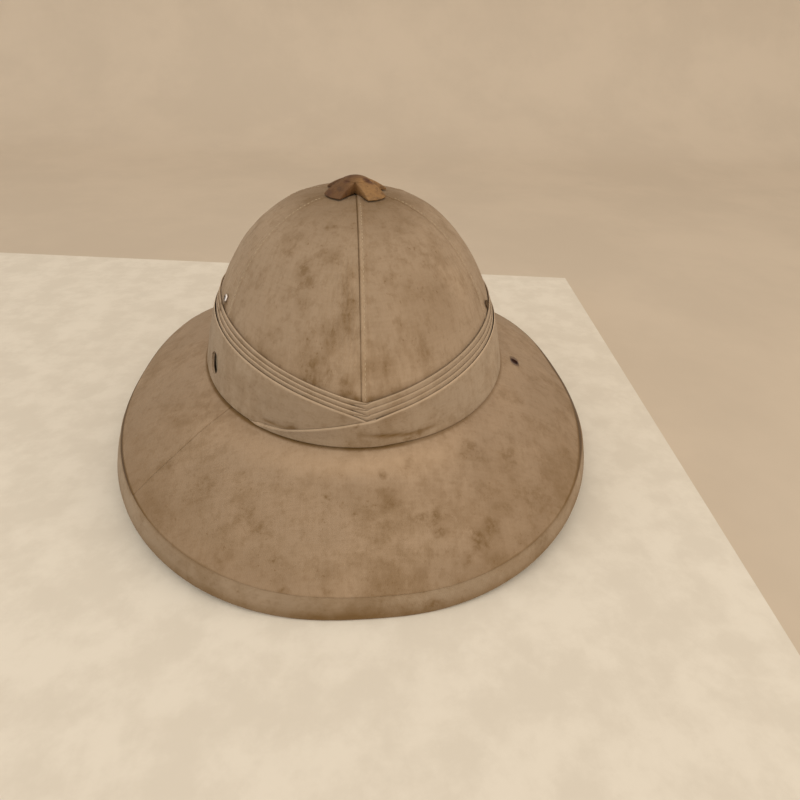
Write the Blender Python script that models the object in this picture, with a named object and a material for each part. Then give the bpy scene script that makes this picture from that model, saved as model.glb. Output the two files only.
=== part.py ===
"""A cloth-covered sun helmet: a moulded pith shell, six crown panels, a brim cover, a turned-down
edge binding, a folded cloth band and a leather ventilator cap with four petals.

Metres, +Z up. The front is towards -Y, and left and right are as seen from the front. Azimuth is
measured round the crown from the front, positive towards +X. The origin is under the middle of
the helmet, on the surface that its front and rear edges rest on.

Every layer follows one surface, the outside of the cloth, and lies a stated depth inside or
outside it, on the same lines of azimuth, so that the layers stay parallel.
"""

import math

import bmesh
import bpy
import numpy as np
from mathutils import Vector

# ---------------------------------------------------------------- driving dimensions

AZIMUTH_STEPS = 48
STEP = 360 / AZIMUTH_STEPS

# The crown, outside its cloth: an oval dome whose outline is a superellipse.
CROWN_CENTRE_Y = -0.0081
CROWN_HALF_WIDTH = 0.0954
CROWN_LENGTH_RATIO = 1.20
CROWN_FOOT_Z = 0.050
CROWN_TOP_Z = 0.1560
CROWN_RISE_POWER = 1.69
CROWN_ROUND_POWER = 2.60

# The line where the cloth band meets the brim.
BASE_HALF_WIDTH = 0.0987
BASE_HALF_LENGTH = 0.1178
BASE_Z = 0.0530
BASE_SIDE_RISE = 0.0028

# The brim's outer edge in plan, and how far it rises at the sides.
BRIM_HALF_WIDTH = 0.1557
BRIM_HALF_LENGTH = 0.1897
BRIM_SQUARENESS = 2.32
BRIM_BULGE = 0.0022
BRIM_LINE_SPREAD = 1.12
EDGE_FLAT_SHARE = 0.12
EDGE_RISE_LEFT = 0.0145
EDGE_RISE_RIGHT = 0.0165

# The turned-down lip below the brim's edge seam.
LIP_HEIGHT = 0.0122
LIP_FLARE = 0.0042
LIP_LEAN = 0.20  # the lip is deeper on the left and shallower on the right by this share

# Thicknesses and gaps.
GAP = 0.0003
CLOTH = 0.0012
SHELL_CROWN = 0.0050
SHELL_BRIM = 0.0040
SHELL_LIP = 0.0030
SHELL_DEPTH = CLOTH + GAP

# The crown panels.
PANELS = 6
PANEL_SEAM_HALF_GAP = 0.0002

# The folded band: three narrow folds a side over one broad wrap a side.
BAND_STANDOFF = 0.0003
WRAP_THICKNESS = 0.0015
WRAP_STATIONS = [
    # share of the height, how far the cloth flares out over the brim
    (0.00, 0.0014),
    (0.34, 0.0004),
    (0.68, 0.0000),
    (1.00, 0.0000),
]
WRAP_FOOT_LIFT = 0.0019  # clears the brim cover behind the wrap's lower edge
FOLD_DEPTH = 0.0020
FOLD_FULLEST = [0.30, 0.72]  # shares of a fold's height between which it is fully round
FOLD_SAG = 0.0003
FOLD_SHOULDER = 0.62
FOLDS = 3
FOLD_TOP_Z = 0.0767
FOLD_FOOT_Z = 0.0667
FOLD_CLIMB = {
    # side: (rise of the top, rise of the foot, power of the foot's rise)
    -1: (0.0246, 0.0250, 0.77),
    1: (0.0222, 0.0213, 0.87),
}
CROSSING_AZIMUTH = 1.5
TUCK_AZIMUTH = -36.0  # the right wrap laps over the left one as far as this
TUCK_HEIGHT = 0.0012
LAP_POWER = 1.05
BAND_END_GAP = 0.15  # degrees
WRAP_END = 2.5  # degrees from the crossing to the point of the left wrap

# Ventilator cap.
PETALS = 4
CAP_CENTRE_Y = -0.0135  # a little forward of the crown's middle
CAP_TURN = -5.0
CAP_LENGTH_RATIO = 1.11
PETAL_RADIUS = 0.0193
PETAL_HALF_ANGLE = 21.0
PETAL_BULGE = 0.03
NOTCH_RADIUS = 0.0073
PETAL_EDGE = 0.0017
PETAL_CROWN = 0.0081
PETAL_SIDES = 48
PETAL_STATIONS = [0.45, 0.75, 1.0]
CAP_ROUND_POWER = 1.8
CAP_HEIGHT = 0.0090
BUTTON_RADIUS = 0.0078
BUTTON_FALL = 0.0014  # from its middle to its rim
BUTTON_SIDES = 24
BUTTON_STATIONS = [0.50, 0.80, 0.97]

# Small things: the azimuth and place of each, as the photograph shows it.
EYELETS = {
    # side: (azimuth, z)
    -1: (65.0, 0.1042),
    1: (66.5, 0.1000),
}
EYELET_RADIUS = 0.0025
EYELET_HOLE = 0.0013
EYELET_HEIGHT = 0.0011
EYELET_LIFT = 0.0004
EYELET_SIDES = 16
VENT_AZIMUTH = -62.0
VENT_Z = 0.0684
VENT_RADIUS = 0.0068
BRIM_SEAM_AZIMUTH = -46.5
BRIM_HOLE_AZIMUTH = 78.6
BRIM_HOLE_SHARE = 0.20
BRIM_HOLE_RADIUS = 0.0025

MATERIALS = {
    # name: (colour, roughness, metallic)
    "pith": ((0.58, 0.50, 0.38), 0.95, 0.0),
    "khaki_drill": ((0.36, 0.27, 0.18), 0.90, 0.0),
    "khaki_band": ((0.38, 0.29, 0.19), 0.88, 0.0),
    "brown_leather": ((0.17, 0.085, 0.038), 0.55, 0.0),
    "steel": ((0.45, 0.45, 0.46), 0.35, 1.0),
}


# ---------------------------------------------------------------- the cloth surface


def crown_point(azimuth, z):
    """A point on the outside of the crown's cloth."""
    rise = np.clip((z - CROWN_FOOT_Z) / (CROWN_TOP_Z - CROWN_FOOT_Z), 0, 1)
    radius = CROWN_HALF_WIDTH * (1 - rise**CROWN_RISE_POWER) ** (1 / CROWN_ROUND_POWER)
    a = math.radians(azimuth)
    return np.array(
        [
            radius * math.sin(a),
            CROWN_CENTRE_Y - CROWN_LENGTH_RATIO * radius * math.cos(a),
            z,
        ]
    )


def base_z(azimuth):
    return BASE_Z + BASE_SIDE_RISE * math.sin(math.radians(azimuth)) ** 2


def base_point(azimuth):
    """The line where the band meets the brim cover."""
    a = math.radians(azimuth)
    return np.array(
        [
            BASE_HALF_WIDTH * math.sin(a),
            CROWN_CENTRE_Y - BASE_HALF_LENGTH * math.cos(a),
            base_z(azimuth),
        ]
    )


def outline_point(azimuth, inset):
    """A point of the brim's plan, this far inside its outer edge, at z 0."""
    a = math.radians(azimuth)
    across, along = math.sin(a), -BRIM_LINE_SPREAD * math.cos(a)
    length = math.hypot(across, along)
    across, along = across / length, along / length
    power = BRIM_SQUARENESS
    radius = (
        abs(across / (BRIM_HALF_WIDTH - inset)) ** power
        + abs(along / (BRIM_HALF_LENGTH - inset)) ** power
    ) ** (-1 / power)
    return np.array([radius * across, radius * along, 0.0])


def edge_z(azimuth):
    """The height of the lip's bottom: flat on the ground at the front and rear, raised at the sides."""
    point = outline_point(azimuth, 0)
    side = point[0] / math.hypot(point[0], point[1])
    share = np.clip((abs(side) - EDGE_FLAT_SHARE) / (1 - EDGE_FLAT_SHARE), 0, 1)
    rise = EDGE_RISE_RIGHT if side > 0 else EDGE_RISE_LEFT
    return rise * share * share * (3 - 2 * share)


def lip_scale(azimuth):
    point = outline_point(azimuth, 0)
    return 1 - LIP_LEAN * point[0] / math.hypot(point[0], point[1])


def seam_point(azimuth):
    """The line where the brim cover meets the turned-down lip."""
    scale = lip_scale(azimuth)
    point = outline_point(azimuth, LIP_FLARE * scale)
    point[2] = edge_z(azimuth) + LIP_HEIGHT * scale
    return point


def plan_normal(azimuth):
    """The outward normal of the brim's outer edge, seen from above."""
    along = outline_point(azimuth + 1, 0) - outline_point(azimuth - 1, 0)
    normal = np.array([-along[1], along[0], 0.0])
    normal /= np.linalg.norm(normal)
    return normal if normal @ outline_point(azimuth, 0) > 0 else -normal


def lip_point(azimuth, height, depth):
    """A point this high up the lip and this far inside its outer face, measured level."""
    top, bottom = seam_point(azimuth), outline_point(azimuth, 0)
    bottom[2] = edge_z(azimuth)
    point = bottom + (top - bottom) * (height / (top[2] - bottom[2]))
    return point - plan_normal(azimuth) * depth


def brim_point(azimuth, share):
    """A point on the brim cover, from the band at share 0 to the edge seam at share 1."""
    inner, outer = base_point(azimuth), seam_point(azimuth)
    point = inner * (1 - share) + outer * share
    point[2] += BRIM_BULGE * 4 * share * (1 - share)
    return point


def surface_normal(surface, azimuth, place, reach):
    """The outward normal of a surface(azimuth, place), from four points round the place."""
    around = surface(azimuth + 0.5, place) - surface(azimuth - 0.5, place)
    up = surface(azimuth, place + reach) - surface(azimuth, place - reach)
    normal = np.cross(around, up)
    return normal / np.linalg.norm(normal)


def crown_layer(azimuth, z, depth):
    """A point this far outside (+) or inside (-) the crown's cloth surface."""
    if z > CROWN_TOP_Z - 1e-6:
        return crown_point(azimuth, CROWN_TOP_Z) + np.array([0, 0, depth])
    reach = min(0.0002, (CROWN_TOP_Z - z) / 3)
    normal = surface_normal(crown_point, azimuth, z, reach)
    return crown_point(azimuth, z) + normal * depth


def brim_layer(azimuth, share, depth):
    normal = -surface_normal(brim_point, azimuth, share, 0.01)
    return brim_point(azimuth, share) + normal * depth


def seam_layer(azimuth, depth):
    """The point behind the edge seam where the inner sides of the cover and the lip meet, and the
    direction up the lip there."""
    brim = -surface_normal(brim_point, azimuth, 1.0, 0.01)
    along = seam_point(azimuth) - lip_point(azimuth, 0, 0)
    along /= np.linalg.norm(along)
    lip = plan_normal(azimuth) - along * (plan_normal(azimuth) @ along)
    lip /= np.linalg.norm(lip)
    between = (brim + lip) / np.linalg.norm(brim + lip)
    return seam_point(azimuth) - between * depth / (between @ lip), along


# ---------------------------------------------------------------- building solids


def material(name):
    made = bpy.data.materials.get(name)
    if made:
        return made
    colour, roughness, metallic = MATERIALS[name]
    made = bpy.data.materials.new(name)
    made.use_nodes = True
    shader = made.node_tree.nodes["Principled BSDF"]
    shader.inputs["Base Color"].default_value = (*colour, 1)
    shader.inputs["Roughness"].default_value = roughness
    shader.inputs["Metallic"].default_value = metallic
    return made


def finish(name, shape, material_name):
    """Makes an object of a closed bmesh, with its faces pointing out."""
    bmesh.ops.recalc_face_normals(shape, faces=shape.faces)
    mesh = bpy.data.meshes.new(name)
    shape.to_mesh(mesh)
    shape.free()
    mesh.materials.append(material(material_name))
    mesh.shade_smooth()
    mesh.set_sharp_from_angle(angle=math.radians(40))
    made = bpy.data.objects.new(name, mesh)
    bpy.context.collection.objects.link(made)
    return made


def sweep(name, sections, closed, material_name):
    """A solid through closed sections, each a list of points in the same order. An open sweep has
    flat ends of four-sided faces, from pairing the section's points across."""
    shape = bmesh.new()
    rows = [[shape.verts.new(p) for p in section] for section in sections]
    count = len(rows[0])
    for i in range(len(rows) if closed else len(rows) - 1):
        row, after = rows[i], rows[(i + 1) % len(rows)]
        for k in range(count):
            shape.faces.new((row[k], row[(k + 1) % count], after[(k + 1) % count], after[k]))
    if not closed:
        for row in (rows[0], rows[-1]):
            for k in range(count // 2 - 1):
                shape.faces.new((row[k], row[k + 1], row[count - 2 - k], row[count - 1 - k]))
    return finish(name, shape, material_name)


def turned(name, sections, material_name):
    """A solid through open sections that all start at one pole and end at another."""
    shape = bmesh.new()
    first, last = shape.verts.new(sections[0][0]), shape.verts.new(sections[0][-1])
    rows = [[first, *(shape.verts.new(p) for p in s[1:-1]), last] for s in sections]
    for row, after in zip(rows, rows[1:] + rows[:1]):
        shape.faces.new((row[0], row[1], after[1]))
        shape.faces.new((row[-2], row[-1], after[-2]))
        for k in range(1, len(row) - 2):
            shape.faces.new((row[k], row[k + 1], after[k + 1], after[k]))
    return finish(name, shape, material_name)


def cut(target, radius, place, normal, half_length):
    """Cuts a round hole through a piece, with a cutter that stays out of the model."""
    shape = bmesh.new()
    bmesh.ops.create_cone(
        shape,
        cap_ends=True,
        segments=16,
        radius1=radius,
        radius2=radius,
        depth=2 * half_length,
    )
    mesh = bpy.data.meshes.new(target.name + "_cutter")
    shape.to_mesh(mesh)
    shape.free()
    cutter = bpy.data.objects.new(mesh.name, mesh)
    bpy.context.collection.objects.link(cutter)
    cutter.matrix_world = facing(place, normal)
    cutter.hide_render = True
    cutter.display_type = "WIRE"
    hole = target.modifiers.new("hole", "BOOLEAN")
    hole.operation = "DIFFERENCE"
    hole.object = cutter


def facing(place, normal):
    """A matrix that puts local +Z along the normal, at the place."""
    turn = Vector(normal).to_track_quat("Z", "Y").to_matrix().to_4x4()
    turn.translation = Vector(place)
    return turn


# ---------------------------------------------------------------- the shell and its cloth

CROWN_STATIONS = [0.02, 0.10, 0.20, 0.30, 0.42, 0.54, 0.66, 0.78, 0.89, 1.0]
BRIM_STATIONS = [0.25, 0.50, 0.75]
WALL_END = 0.0026
CORNER = 0.0016
BRIM_START = -0.035
CORNER_MITRE = 1.17
LIP_TURN_SHARE = 0.60
FLANGE_CLEARANCE = 0.0008
COVER_SEAM_HALF_GAP = 0.08  # degrees


def crown_heights(azimuth):
    """The heights of the crown's stations, closer together towards the top."""
    foot = base_z(azimuth) + WALL_END
    return [CROWN_TOP_Z - (CROWN_TOP_Z - foot) * share**2 for share in CROWN_STATIONS]


def corner_layer(azimuth, depth):
    """The inside corner between the crown's wall and the brim."""
    wall = surface_normal(crown_point, azimuth, base_z(azimuth) + WALL_END, 0.0002)
    brim = -surface_normal(brim_point, azimuth, 0.0, 0.01)
    between = (wall + brim) / np.linalg.norm(wall + brim)
    return crown_point(azimuth, base_z(azimuth) + CORNER) + between * depth * CORNER_MITRE


def shell_side(azimuth, inner):
    """One side of the shell's section, from the top of the crown to the lip."""
    depth = -SHELL_DEPTH
    crown = depth - SHELL_CROWN * inner
    brim = depth - SHELL_BRIM * inner
    lip = -depth + SHELL_LIP * inner
    points = [crown_layer(azimuth, CROWN_TOP_Z, crown)]
    points += [crown_layer(azimuth, z, crown) for z in crown_heights(azimuth)]
    points.append(corner_layer(azimuth, crown))
    points.append(brim_layer(azimuth, BRIM_START, crown))
    points += [brim_layer(azimuth, share, brim) for share in BRIM_STATIONS]
    points.append(brim_layer(azimuth, 0.97, depth - SHELL_LIP * inner))
    points.append(lip_point(azimuth, LIP_HEIGHT * LIP_TURN_SHARE, lip))
    points.append(lip_point(azimuth, CLOTH + 3 * GAP, lip))
    return points


def azimuths():
    return [i * STEP for i in range(AZIMUTH_STEPS)]


def lines_between(first, last):
    """The shared lines of azimuth that lie clear of both ends of a piece."""
    clear = STEP / 3
    start, stop = math.ceil((first + clear) / STEP), math.floor((last - clear) / STEP)
    return [i * STEP for i in range(start, stop + 1)]


def pith_shell():
    sections = [shell_side(a, 0) + shell_side(a, 1)[::-1] for a in azimuths()]
    turned("pith_shell", sections, "pith")


def crown_panels():
    """Six cloth gores, with a seam at the front."""
    span = AZIMUTH_STEPS // PANELS
    for panel in range(PANELS):
        sections = []
        for i in range(span + 1):
            azimuth = (panel * span + i) * STEP
            sideways = crown_point(azimuth + 1, CROWN_FOOT_Z) - crown_point(azimuth - 1, CROWN_FOOT_Z)
            sideways /= np.linalg.norm(sideways)
            inward = PANEL_SEAM_HALF_GAP * ((i == 0) - (i == span))
            heights = crown_heights(azimuth)
            outside = [crown_layer(azimuth, z, 0) + sideways * inward for z in heights]
            inside = [crown_layer(azimuth, z, -CLOTH) + sideways * inward for z in heights]
            sections.append(outside + inside[::-1])
        sweep(f"crown_panel_{panel + 1}", sections, False, "khaki_drill")


def brim_cover():
    """One strip of cloth round the brim, joined at a seam on the left."""
    first = BRIM_SEAM_AZIMUTH + COVER_SEAM_HALF_GAP
    last = BRIM_SEAM_AZIMUTH + 360 - COVER_SEAM_HALF_GAP
    lines = [first, *lines_between(first, last), last]
    shares = [BRIM_START, *BRIM_STATIONS, 0.995]
    sections = []
    for azimuth in lines:
        outside = [brim_layer(azimuth, s, 0) for s in shares]
        inside = [brim_layer(azimuth, s, -CLOTH) for s in shares[:-1]]
        behind, _ = seam_layer(azimuth, CLOTH)
        inward = (inside[-1] - behind) / np.linalg.norm(inside[-1] - behind)
        sections.append([*outside, behind + inward * GAP, *inside[::-1]])
    cover = sweep("brim_cover", sections, False, "khaki_drill")
    place = brim_point(BRIM_HOLE_AZIMUTH, BRIM_HOLE_SHARE)
    normal = -surface_normal(brim_point, BRIM_HOLE_AZIMUTH, BRIM_HOLE_SHARE, 0.01)
    cut(cover, BRIM_HOLE_RADIUS, place, normal, CLOTH + GAP / 2)


def edge_binding():
    """The turned-down lip: cloth over the shell's edge, flat underneath, with a flange inside."""
    flange_depth = SHELL_DEPTH + SHELL_LIP + FLANGE_CLEARANCE
    sections = []
    for azimuth in azimuths():
        top = LIP_HEIGHT * lip_scale(azimuth) - GAP / 2
        flange_top = top / 2
        behind, along = seam_layer(azimuth, CLOTH)
        sections.append(
            [
                lip_point(azimuth, top, 0),
                lip_point(azimuth, 0, 0),
                lip_point(azimuth, 0, flange_depth + CLOTH),
                lip_point(azimuth, flange_top, flange_depth + CLOTH),
                lip_point(azimuth, flange_top, flange_depth),
                lip_point(azimuth, CLOTH, flange_depth),
                lip_point(azimuth, CLOTH, CLOTH),
                behind - along * GAP,
            ]
        )
    sweep("edge_binding", sections, True, "khaki_drill")


# ---------------------------------------------------------------- the folded band


def band_climb(azimuth):
    """The row of FOLD_CLIMB on this side, and how far round from the crossing it is, 0 to 1."""
    turned_by = math.radians(azimuth - CROSSING_AZIMUTH)
    side = 1 if math.sin(turned_by) > 0 else -1
    return FOLD_CLIMB[side], abs(math.sin(turned_by))


def folds_top(azimuth):
    (top_rise, _, _), share = band_climb(azimuth)
    return FOLD_TOP_Z + top_rise * share


def folds_foot(azimuth):
    (_, foot_rise, power), share = band_climb(azimuth)
    return FOLD_FOOT_Z + foot_rise * share**power


def lap_line(azimuth):
    """The upper edge of the right wrap where it lies over the left one."""
    share = (azimuth - TUCK_AZIMUTH) / (CROSSING_AZIMUTH - TUCK_AZIMUTH)
    low = base_z(azimuth) + TUCK_HEIGHT
    return low + (folds_foot(CROSSING_AZIMUTH) - low) * share**LAP_POWER


def side_lines(side, start, corners=()):
    """Lines of azimuth from a start near the front round one side to the middle of the back, with
    a line of its own at each corner."""
    end = CROSSING_AZIMUTH + 180 * side - BAND_END_GAP * side
    places = sorted([start, end, *corners])
    lines = [places[0]]
    for first, last in zip(places, places[1:]):
        lines += [*lines_between(first, last), last]
    return lines


def fold(side, number):
    """One narrow fold, round on the outside, from the crossing at the front to the back."""
    name = f"fold_{'left' if side < 0 else 'right'}_{number + 1}"
    sections = []
    for azimuth in side_lines(side, CROSSING_AZIMUTH + BAND_END_GAP * side):
        height = (folds_top(azimuth) - folds_foot(azimuth)) / FOLDS
        top = folds_top(azimuth) - number * height
        foot = top - height + GAP
        inner, outer = BAND_STANDOFF, BAND_STANDOFF + FOLD_DEPTH
        corner = inner + FOLD_SHOULDER * FOLD_DEPTH
        full, slack = (top - share * (top - foot) for share in FOLD_FULLEST)
        sections.append(
            [
                crown_layer(azimuth, top - 0.0001, inner),
                crown_layer(azimuth, top, corner),
                crown_layer(azimuth, full, outer),
                crown_layer(azimuth, slack, outer - FOLD_SAG),
                crown_layer(azimuth, foot, corner),
                crown_layer(azimuth, foot + 0.0001, inner),
            ]
        )
    sweep(name, sections, False, "khaki_band")


def wrap(side):
    """One broad wrap, from the brim up to the narrow folds."""
    name = "wrap_left" if side < 0 else "wrap_right"
    left_point = CROSSING_AZIMUTH - WRAP_END
    if side < 0:
        lines = side_lines(side, left_point, [TUCK_AZIMUTH])
    else:
        lines = side_lines(side, TUCK_AZIMUTH, [left_point, CROSSING_AZIMUTH])
    sections = []
    for azimuth in lines:
        top = folds_foot(azimuth) - GAP
        foot = base_z(azimuth)
        if azimuth < CROSSING_AZIMUTH and side > 0:
            top = lap_line(azimuth)
        if azimuth >= TUCK_AZIMUTH and side < 0:
            foot = lap_line(azimuth)
        on_brim = foot == base_z(azimuth)
        low = foot + GAP
        inside_low = foot + (WRAP_FOOT_LIFT if on_brim else 2 * GAP)
        outside, inside = [], []
        for share, flare in WRAP_STATIONS:
            inner = BAND_STANDOFF + flare * on_brim
            outside.append(crown_layer(azimuth, low + (top - low) * share, inner + WRAP_THICKNESS))
            inside.append(crown_layer(azimuth, inside_low + (top - inside_low) * share, inner))
        sections.append(outside + inside[::-1])
    made = sweep(name, sections, False, "khaki_band")
    if side < 0:
        place = crown_point(VENT_AZIMUTH, VENT_Z)
        normal = surface_normal(crown_point, VENT_AZIMUTH, VENT_Z, 0.0002)
        cut(made, VENT_RADIUS, place + normal * WRAP_THICKNESS, normal, 2 * WRAP_THICKNESS)


# ---------------------------------------------------------------- the cap and the metal


def along_ray(degrees, radius):
    a = math.radians(degrees)
    return radius * math.cos(a), radius * math.sin(a)


def petal_outline(azimuth):
    """The cap's radius at an azimuth: straight-edged petals with a notch between each two."""
    pitch = 360 / PETALS
    off = abs((azimuth % pitch) - pitch / 2)  # from the middle of the nearest petal
    if off <= PETAL_HALF_ANGLE:
        return PETAL_RADIUS * (1 + PETAL_BULGE * math.cos(math.radians(off / PETAL_HALF_ANGLE * 90)))
    corner_x, corner_y = along_ray(PETAL_HALF_ANGLE, PETAL_RADIUS)
    notch_x, notch_y = along_ray(pitch / 2, NOTCH_RADIUS)
    ray_x, ray_y = along_ray(off, 1.0)
    side_x, side_y = notch_x - corner_x, notch_y - corner_y
    return (corner_x * side_y - corner_y * side_x) / (ray_x * side_y - ray_y * side_x)


def cap_height(radius):
    """The height of the leather above the crown's cloth."""
    share = min(1.0, radius / PETAL_RADIUS)
    return PETAL_EDGE + (PETAL_CROWN - PETAL_EDGE) * (1 - share**CAP_ROUND_POWER)


def over_crown(azimuth, radius, height):
    """A point above the crown's cloth, on an oval of this half-width round the cap's middle."""
    a = math.radians(azimuth + CAP_TURN)
    x, y = radius * math.sin(a), CAP_CENTRE_Y - CAP_LENGTH_RATIO * radius * math.cos(a)
    across = math.hypot(x, (y - CROWN_CENTRE_Y) / CROWN_LENGTH_RATIO) / CROWN_HALF_WIDTH
    rise = (1 - across**CROWN_ROUND_POWER) ** (1 / CROWN_RISE_POWER)
    z = CROWN_FOOT_Z + (CROWN_TOP_Z - CROWN_FOOT_Z) * rise
    return np.array([x, y, z + height])


def cap_petals():
    """The leather cap over the ventilator, cut into petals with a notch between each two."""
    sections = []
    for i in range(PETAL_SIDES):
        azimuth = i * 360 / PETAL_SIDES
        reaches = [petal_outline(azimuth) * share for share in PETAL_STATIONS]
        top = [over_crown(azimuth, reach, cap_height(reach)) for reach in reaches]
        bottom = [over_crown(azimuth, reach, 2 * GAP) for reach in reaches]
        sections.append(
            [
                over_crown(0, 0, PETAL_CROWN),
                *top,
                *bottom[::-1],
                over_crown(0, 0, 2 * GAP),
            ]
        )
    turned("cap_petals", sections, "brown_leather")


def button_height(radius):
    """The height of the button's top above the crown's cloth."""
    return CAP_HEIGHT - BUTTON_FALL * (radius / BUTTON_RADIUS) ** 2


def cap_button():
    """The shallow button that carries the cap's dome on over the middle of the petals."""
    reaches = [BUTTON_RADIUS * share for share in BUTTON_STATIONS]
    sections = []
    for i in range(BUTTON_SIDES):
        azimuth = i * 360 / BUTTON_SIDES
        top = [over_crown(azimuth, reach, button_height(reach)) for reach in reaches]
        bottom = [over_crown(azimuth, reach, cap_height(reach) + GAP) for reach in reaches]
        rim = over_crown(azimuth, BUTTON_RADIUS, cap_height(BUTTON_RADIUS) + 2 * GAP)
        sections.append(
            [
                over_crown(0, 0, CAP_HEIGHT),
                *top,
                rim,
                *bottom[::-1],
                over_crown(0, 0, PETAL_CROWN + GAP),
            ]
        )
    turned("cap_button", sections, "brown_leather")


def eyelet(side):
    """A small metal eyelet near the crown's side seam, just above the folds."""
    azimuth, z = EYELETS[side]
    azimuth = azimuth * side
    place = crown_point(azimuth, z)
    normal = surface_normal(crown_point, azimuth, z, 0.0002)
    matrix = facing(place + normal * EYELET_LIFT, normal)
    rim = [
        # radius, height
        (EYELET_HOLE, 0),
        (EYELET_HOLE, 0.65 * EYELET_HEIGHT),
        ((EYELET_HOLE + EYELET_RADIUS) / 2, EYELET_HEIGHT),
        (EYELET_RADIUS, 0.35 * EYELET_HEIGHT),
        (EYELET_RADIUS, 0),
    ]
    sections = []
    for i in range(EYELET_SIDES):
        a = 2 * math.pi * i / EYELET_SIDES
        points = [matrix @ Vector((r * math.cos(a), r * math.sin(a), h)) for r, h in rim]
        sections.append([np.array(p) for p in points])
    name = "eyelet_left" if side < 0 else "eyelet_right"
    sweep(name, sections, True, "steel")


# ---------------------------------------------------------------- the helmet

for startup in list(bpy.data.objects):
    bpy.data.objects.remove(startup, do_unlink=True)

pith_shell()
crown_panels()
brim_cover()
edge_binding()
for side in (-1, 1):
    wrap(side)
    for number in range(FOLDS):
        fold(side, number)
    eyelet(side)
cap_petals()
cap_button()
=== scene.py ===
"""The looks of a cloth-covered sun helmet: six crown panels of worn khaki drill, a cloth-covered
brim with a turned-down edge, a pleated band that crosses at the front, and a leather ventilator
cap with four petals, on a pale table top.

Metres, +Z up. The front is towards -Y, and left and right are as seen from the front. Azimuth is
in degrees round the crown from the front, positive towards +X. Each layer of cloth follows the
outer surface of the helmet's cover, and lies a stated depth outside (+) or inside (-) of it.
"""

import math

import bmesh
import bpy
import numpy as np
from mathutils import Matrix, Vector


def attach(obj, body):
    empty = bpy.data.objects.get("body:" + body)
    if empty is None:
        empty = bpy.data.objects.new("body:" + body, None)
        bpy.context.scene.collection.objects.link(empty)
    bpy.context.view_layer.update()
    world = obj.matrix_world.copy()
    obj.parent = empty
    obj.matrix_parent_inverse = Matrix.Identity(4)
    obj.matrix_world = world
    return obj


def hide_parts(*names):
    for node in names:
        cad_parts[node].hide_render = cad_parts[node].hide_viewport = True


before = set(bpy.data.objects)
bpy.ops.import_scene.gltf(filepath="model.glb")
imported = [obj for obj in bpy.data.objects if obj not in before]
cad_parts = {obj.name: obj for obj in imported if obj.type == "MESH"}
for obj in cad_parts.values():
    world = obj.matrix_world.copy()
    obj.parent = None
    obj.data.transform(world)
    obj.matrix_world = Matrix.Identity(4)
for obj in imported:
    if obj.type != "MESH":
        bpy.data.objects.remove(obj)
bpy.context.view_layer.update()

# ---------------------------------------------------------------- the helmet's sizes

CROWN_CENTRE_Y = -0.0081
CROWN_HALF_WIDTH = 0.0954
CROWN_LENGTH_RATIO = 1.20
CROWN_FOOT_Z = 0.050
CROWN_TOP_Z = 0.1560
CROWN_RISE_POWER = 1.69
CROWN_ROUND_POWER = 2.60

BASE_HALF_WIDTH = 0.0987
BASE_HALF_LENGTH = 0.1178
BASE_Z = 0.0530
BASE_SIDE_RISE = 0.0028

BRIM_HALF_WIDTH = 0.1557
BRIM_HALF_LENGTH = 0.1897
BRIM_SQUARENESS = 2.32
BRIM_BULGE = 0.0022
BRIM_LINE_SPREAD = 1.12
EDGE_FLAT_SHARE = 0.12
EDGE_RISE_LEFT = 0.0145
EDGE_RISE_RIGHT = 0.0165
LIP_HEIGHT = 0.0122
LIP_FLARE = 0.0042
LIP_LEAN = 0.20

CLOTH = 0.0012
SHELL_DEPTH = 0.0015
SHELL_CROWN = 0.0050
SHELL_BRIM = 0.0040
SHELL_LIP = 0.0030
WALL_END = 0.0026
BRIM_START = -0.035

PANELS = 6
PANEL_ANGLE = 360 / PANELS
WELT_WIDTH = 0.0036
CROSSING_AZIMUTH = 1.5
FOLDS = 3
FOLD_TOP_Z = 0.0767
FOLD_FOOT_Z = 0.0667
FOLD_CLIMB = {
    # side: (rise of the top, rise of the foot, power of the foot's rise)
    -1: (0.0246, 0.0250, 0.77),
    1: (0.0222, 0.0213, 0.87),
}
SIDES = {-1: "left", 1: "right"}
LAP_START = -38.0
LAP_END = 4.5
BAND_END_GAP = 0.05

VENT_AZIMUTH = -62.0
VENT_Z = 0.0684
VENT_RADIUS = 0.0068
EYELETS = {
    # side: (azimuth, z)
    -1: (-65.0, 0.1042),
    1: (66.5, 0.1000),
}
BRIM_SEAM_AZIMUTH = -47.5
BRIM_HOLE_AZIMUTH = 78.6
BRIM_HOLE_SHARE = 0.20
BRIM_HOLE_RADIUS = 0.0025


# ---------------------------------------------------------------- the helmet's surfaces


def stacked(x, y, z):
    return np.stack(np.broadcast_arrays(x, y, z), axis=-1).astype(float)


def unit(vectors):
    return vectors / np.linalg.norm(vectors, axis=-1, keepdims=True)


def smooth(value, low, high):
    """0 at low and 1 at high, with a smooth change between."""
    share = np.clip((value - low) / (high - low), 0, 1)
    return share * share * (3 - 2 * share)


def dent(value, place, width):
    """1 at a place, falling to 0 over about twice this width."""
    return np.exp(-(((value - place) / width) ** 2))


def crown_radius(z):
    """The crown's half-width at this height."""
    rise = np.clip((z - CROWN_FOOT_Z) / (CROWN_TOP_Z - CROWN_FOOT_Z), 0, 1)
    return CROWN_HALF_WIDTH * (1 - rise**CROWN_RISE_POWER) ** (1 / CROWN_ROUND_POWER)


def crown_point(azimuth, z):
    radius, a = crown_radius(z), np.radians(azimuth)
    y = CROWN_CENTRE_Y - CROWN_LENGTH_RATIO * radius * np.cos(a)
    return stacked(radius * np.sin(a), y, z)


def base_z(azimuth):
    return BASE_Z + BASE_SIDE_RISE * np.sin(np.radians(azimuth)) ** 2


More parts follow.
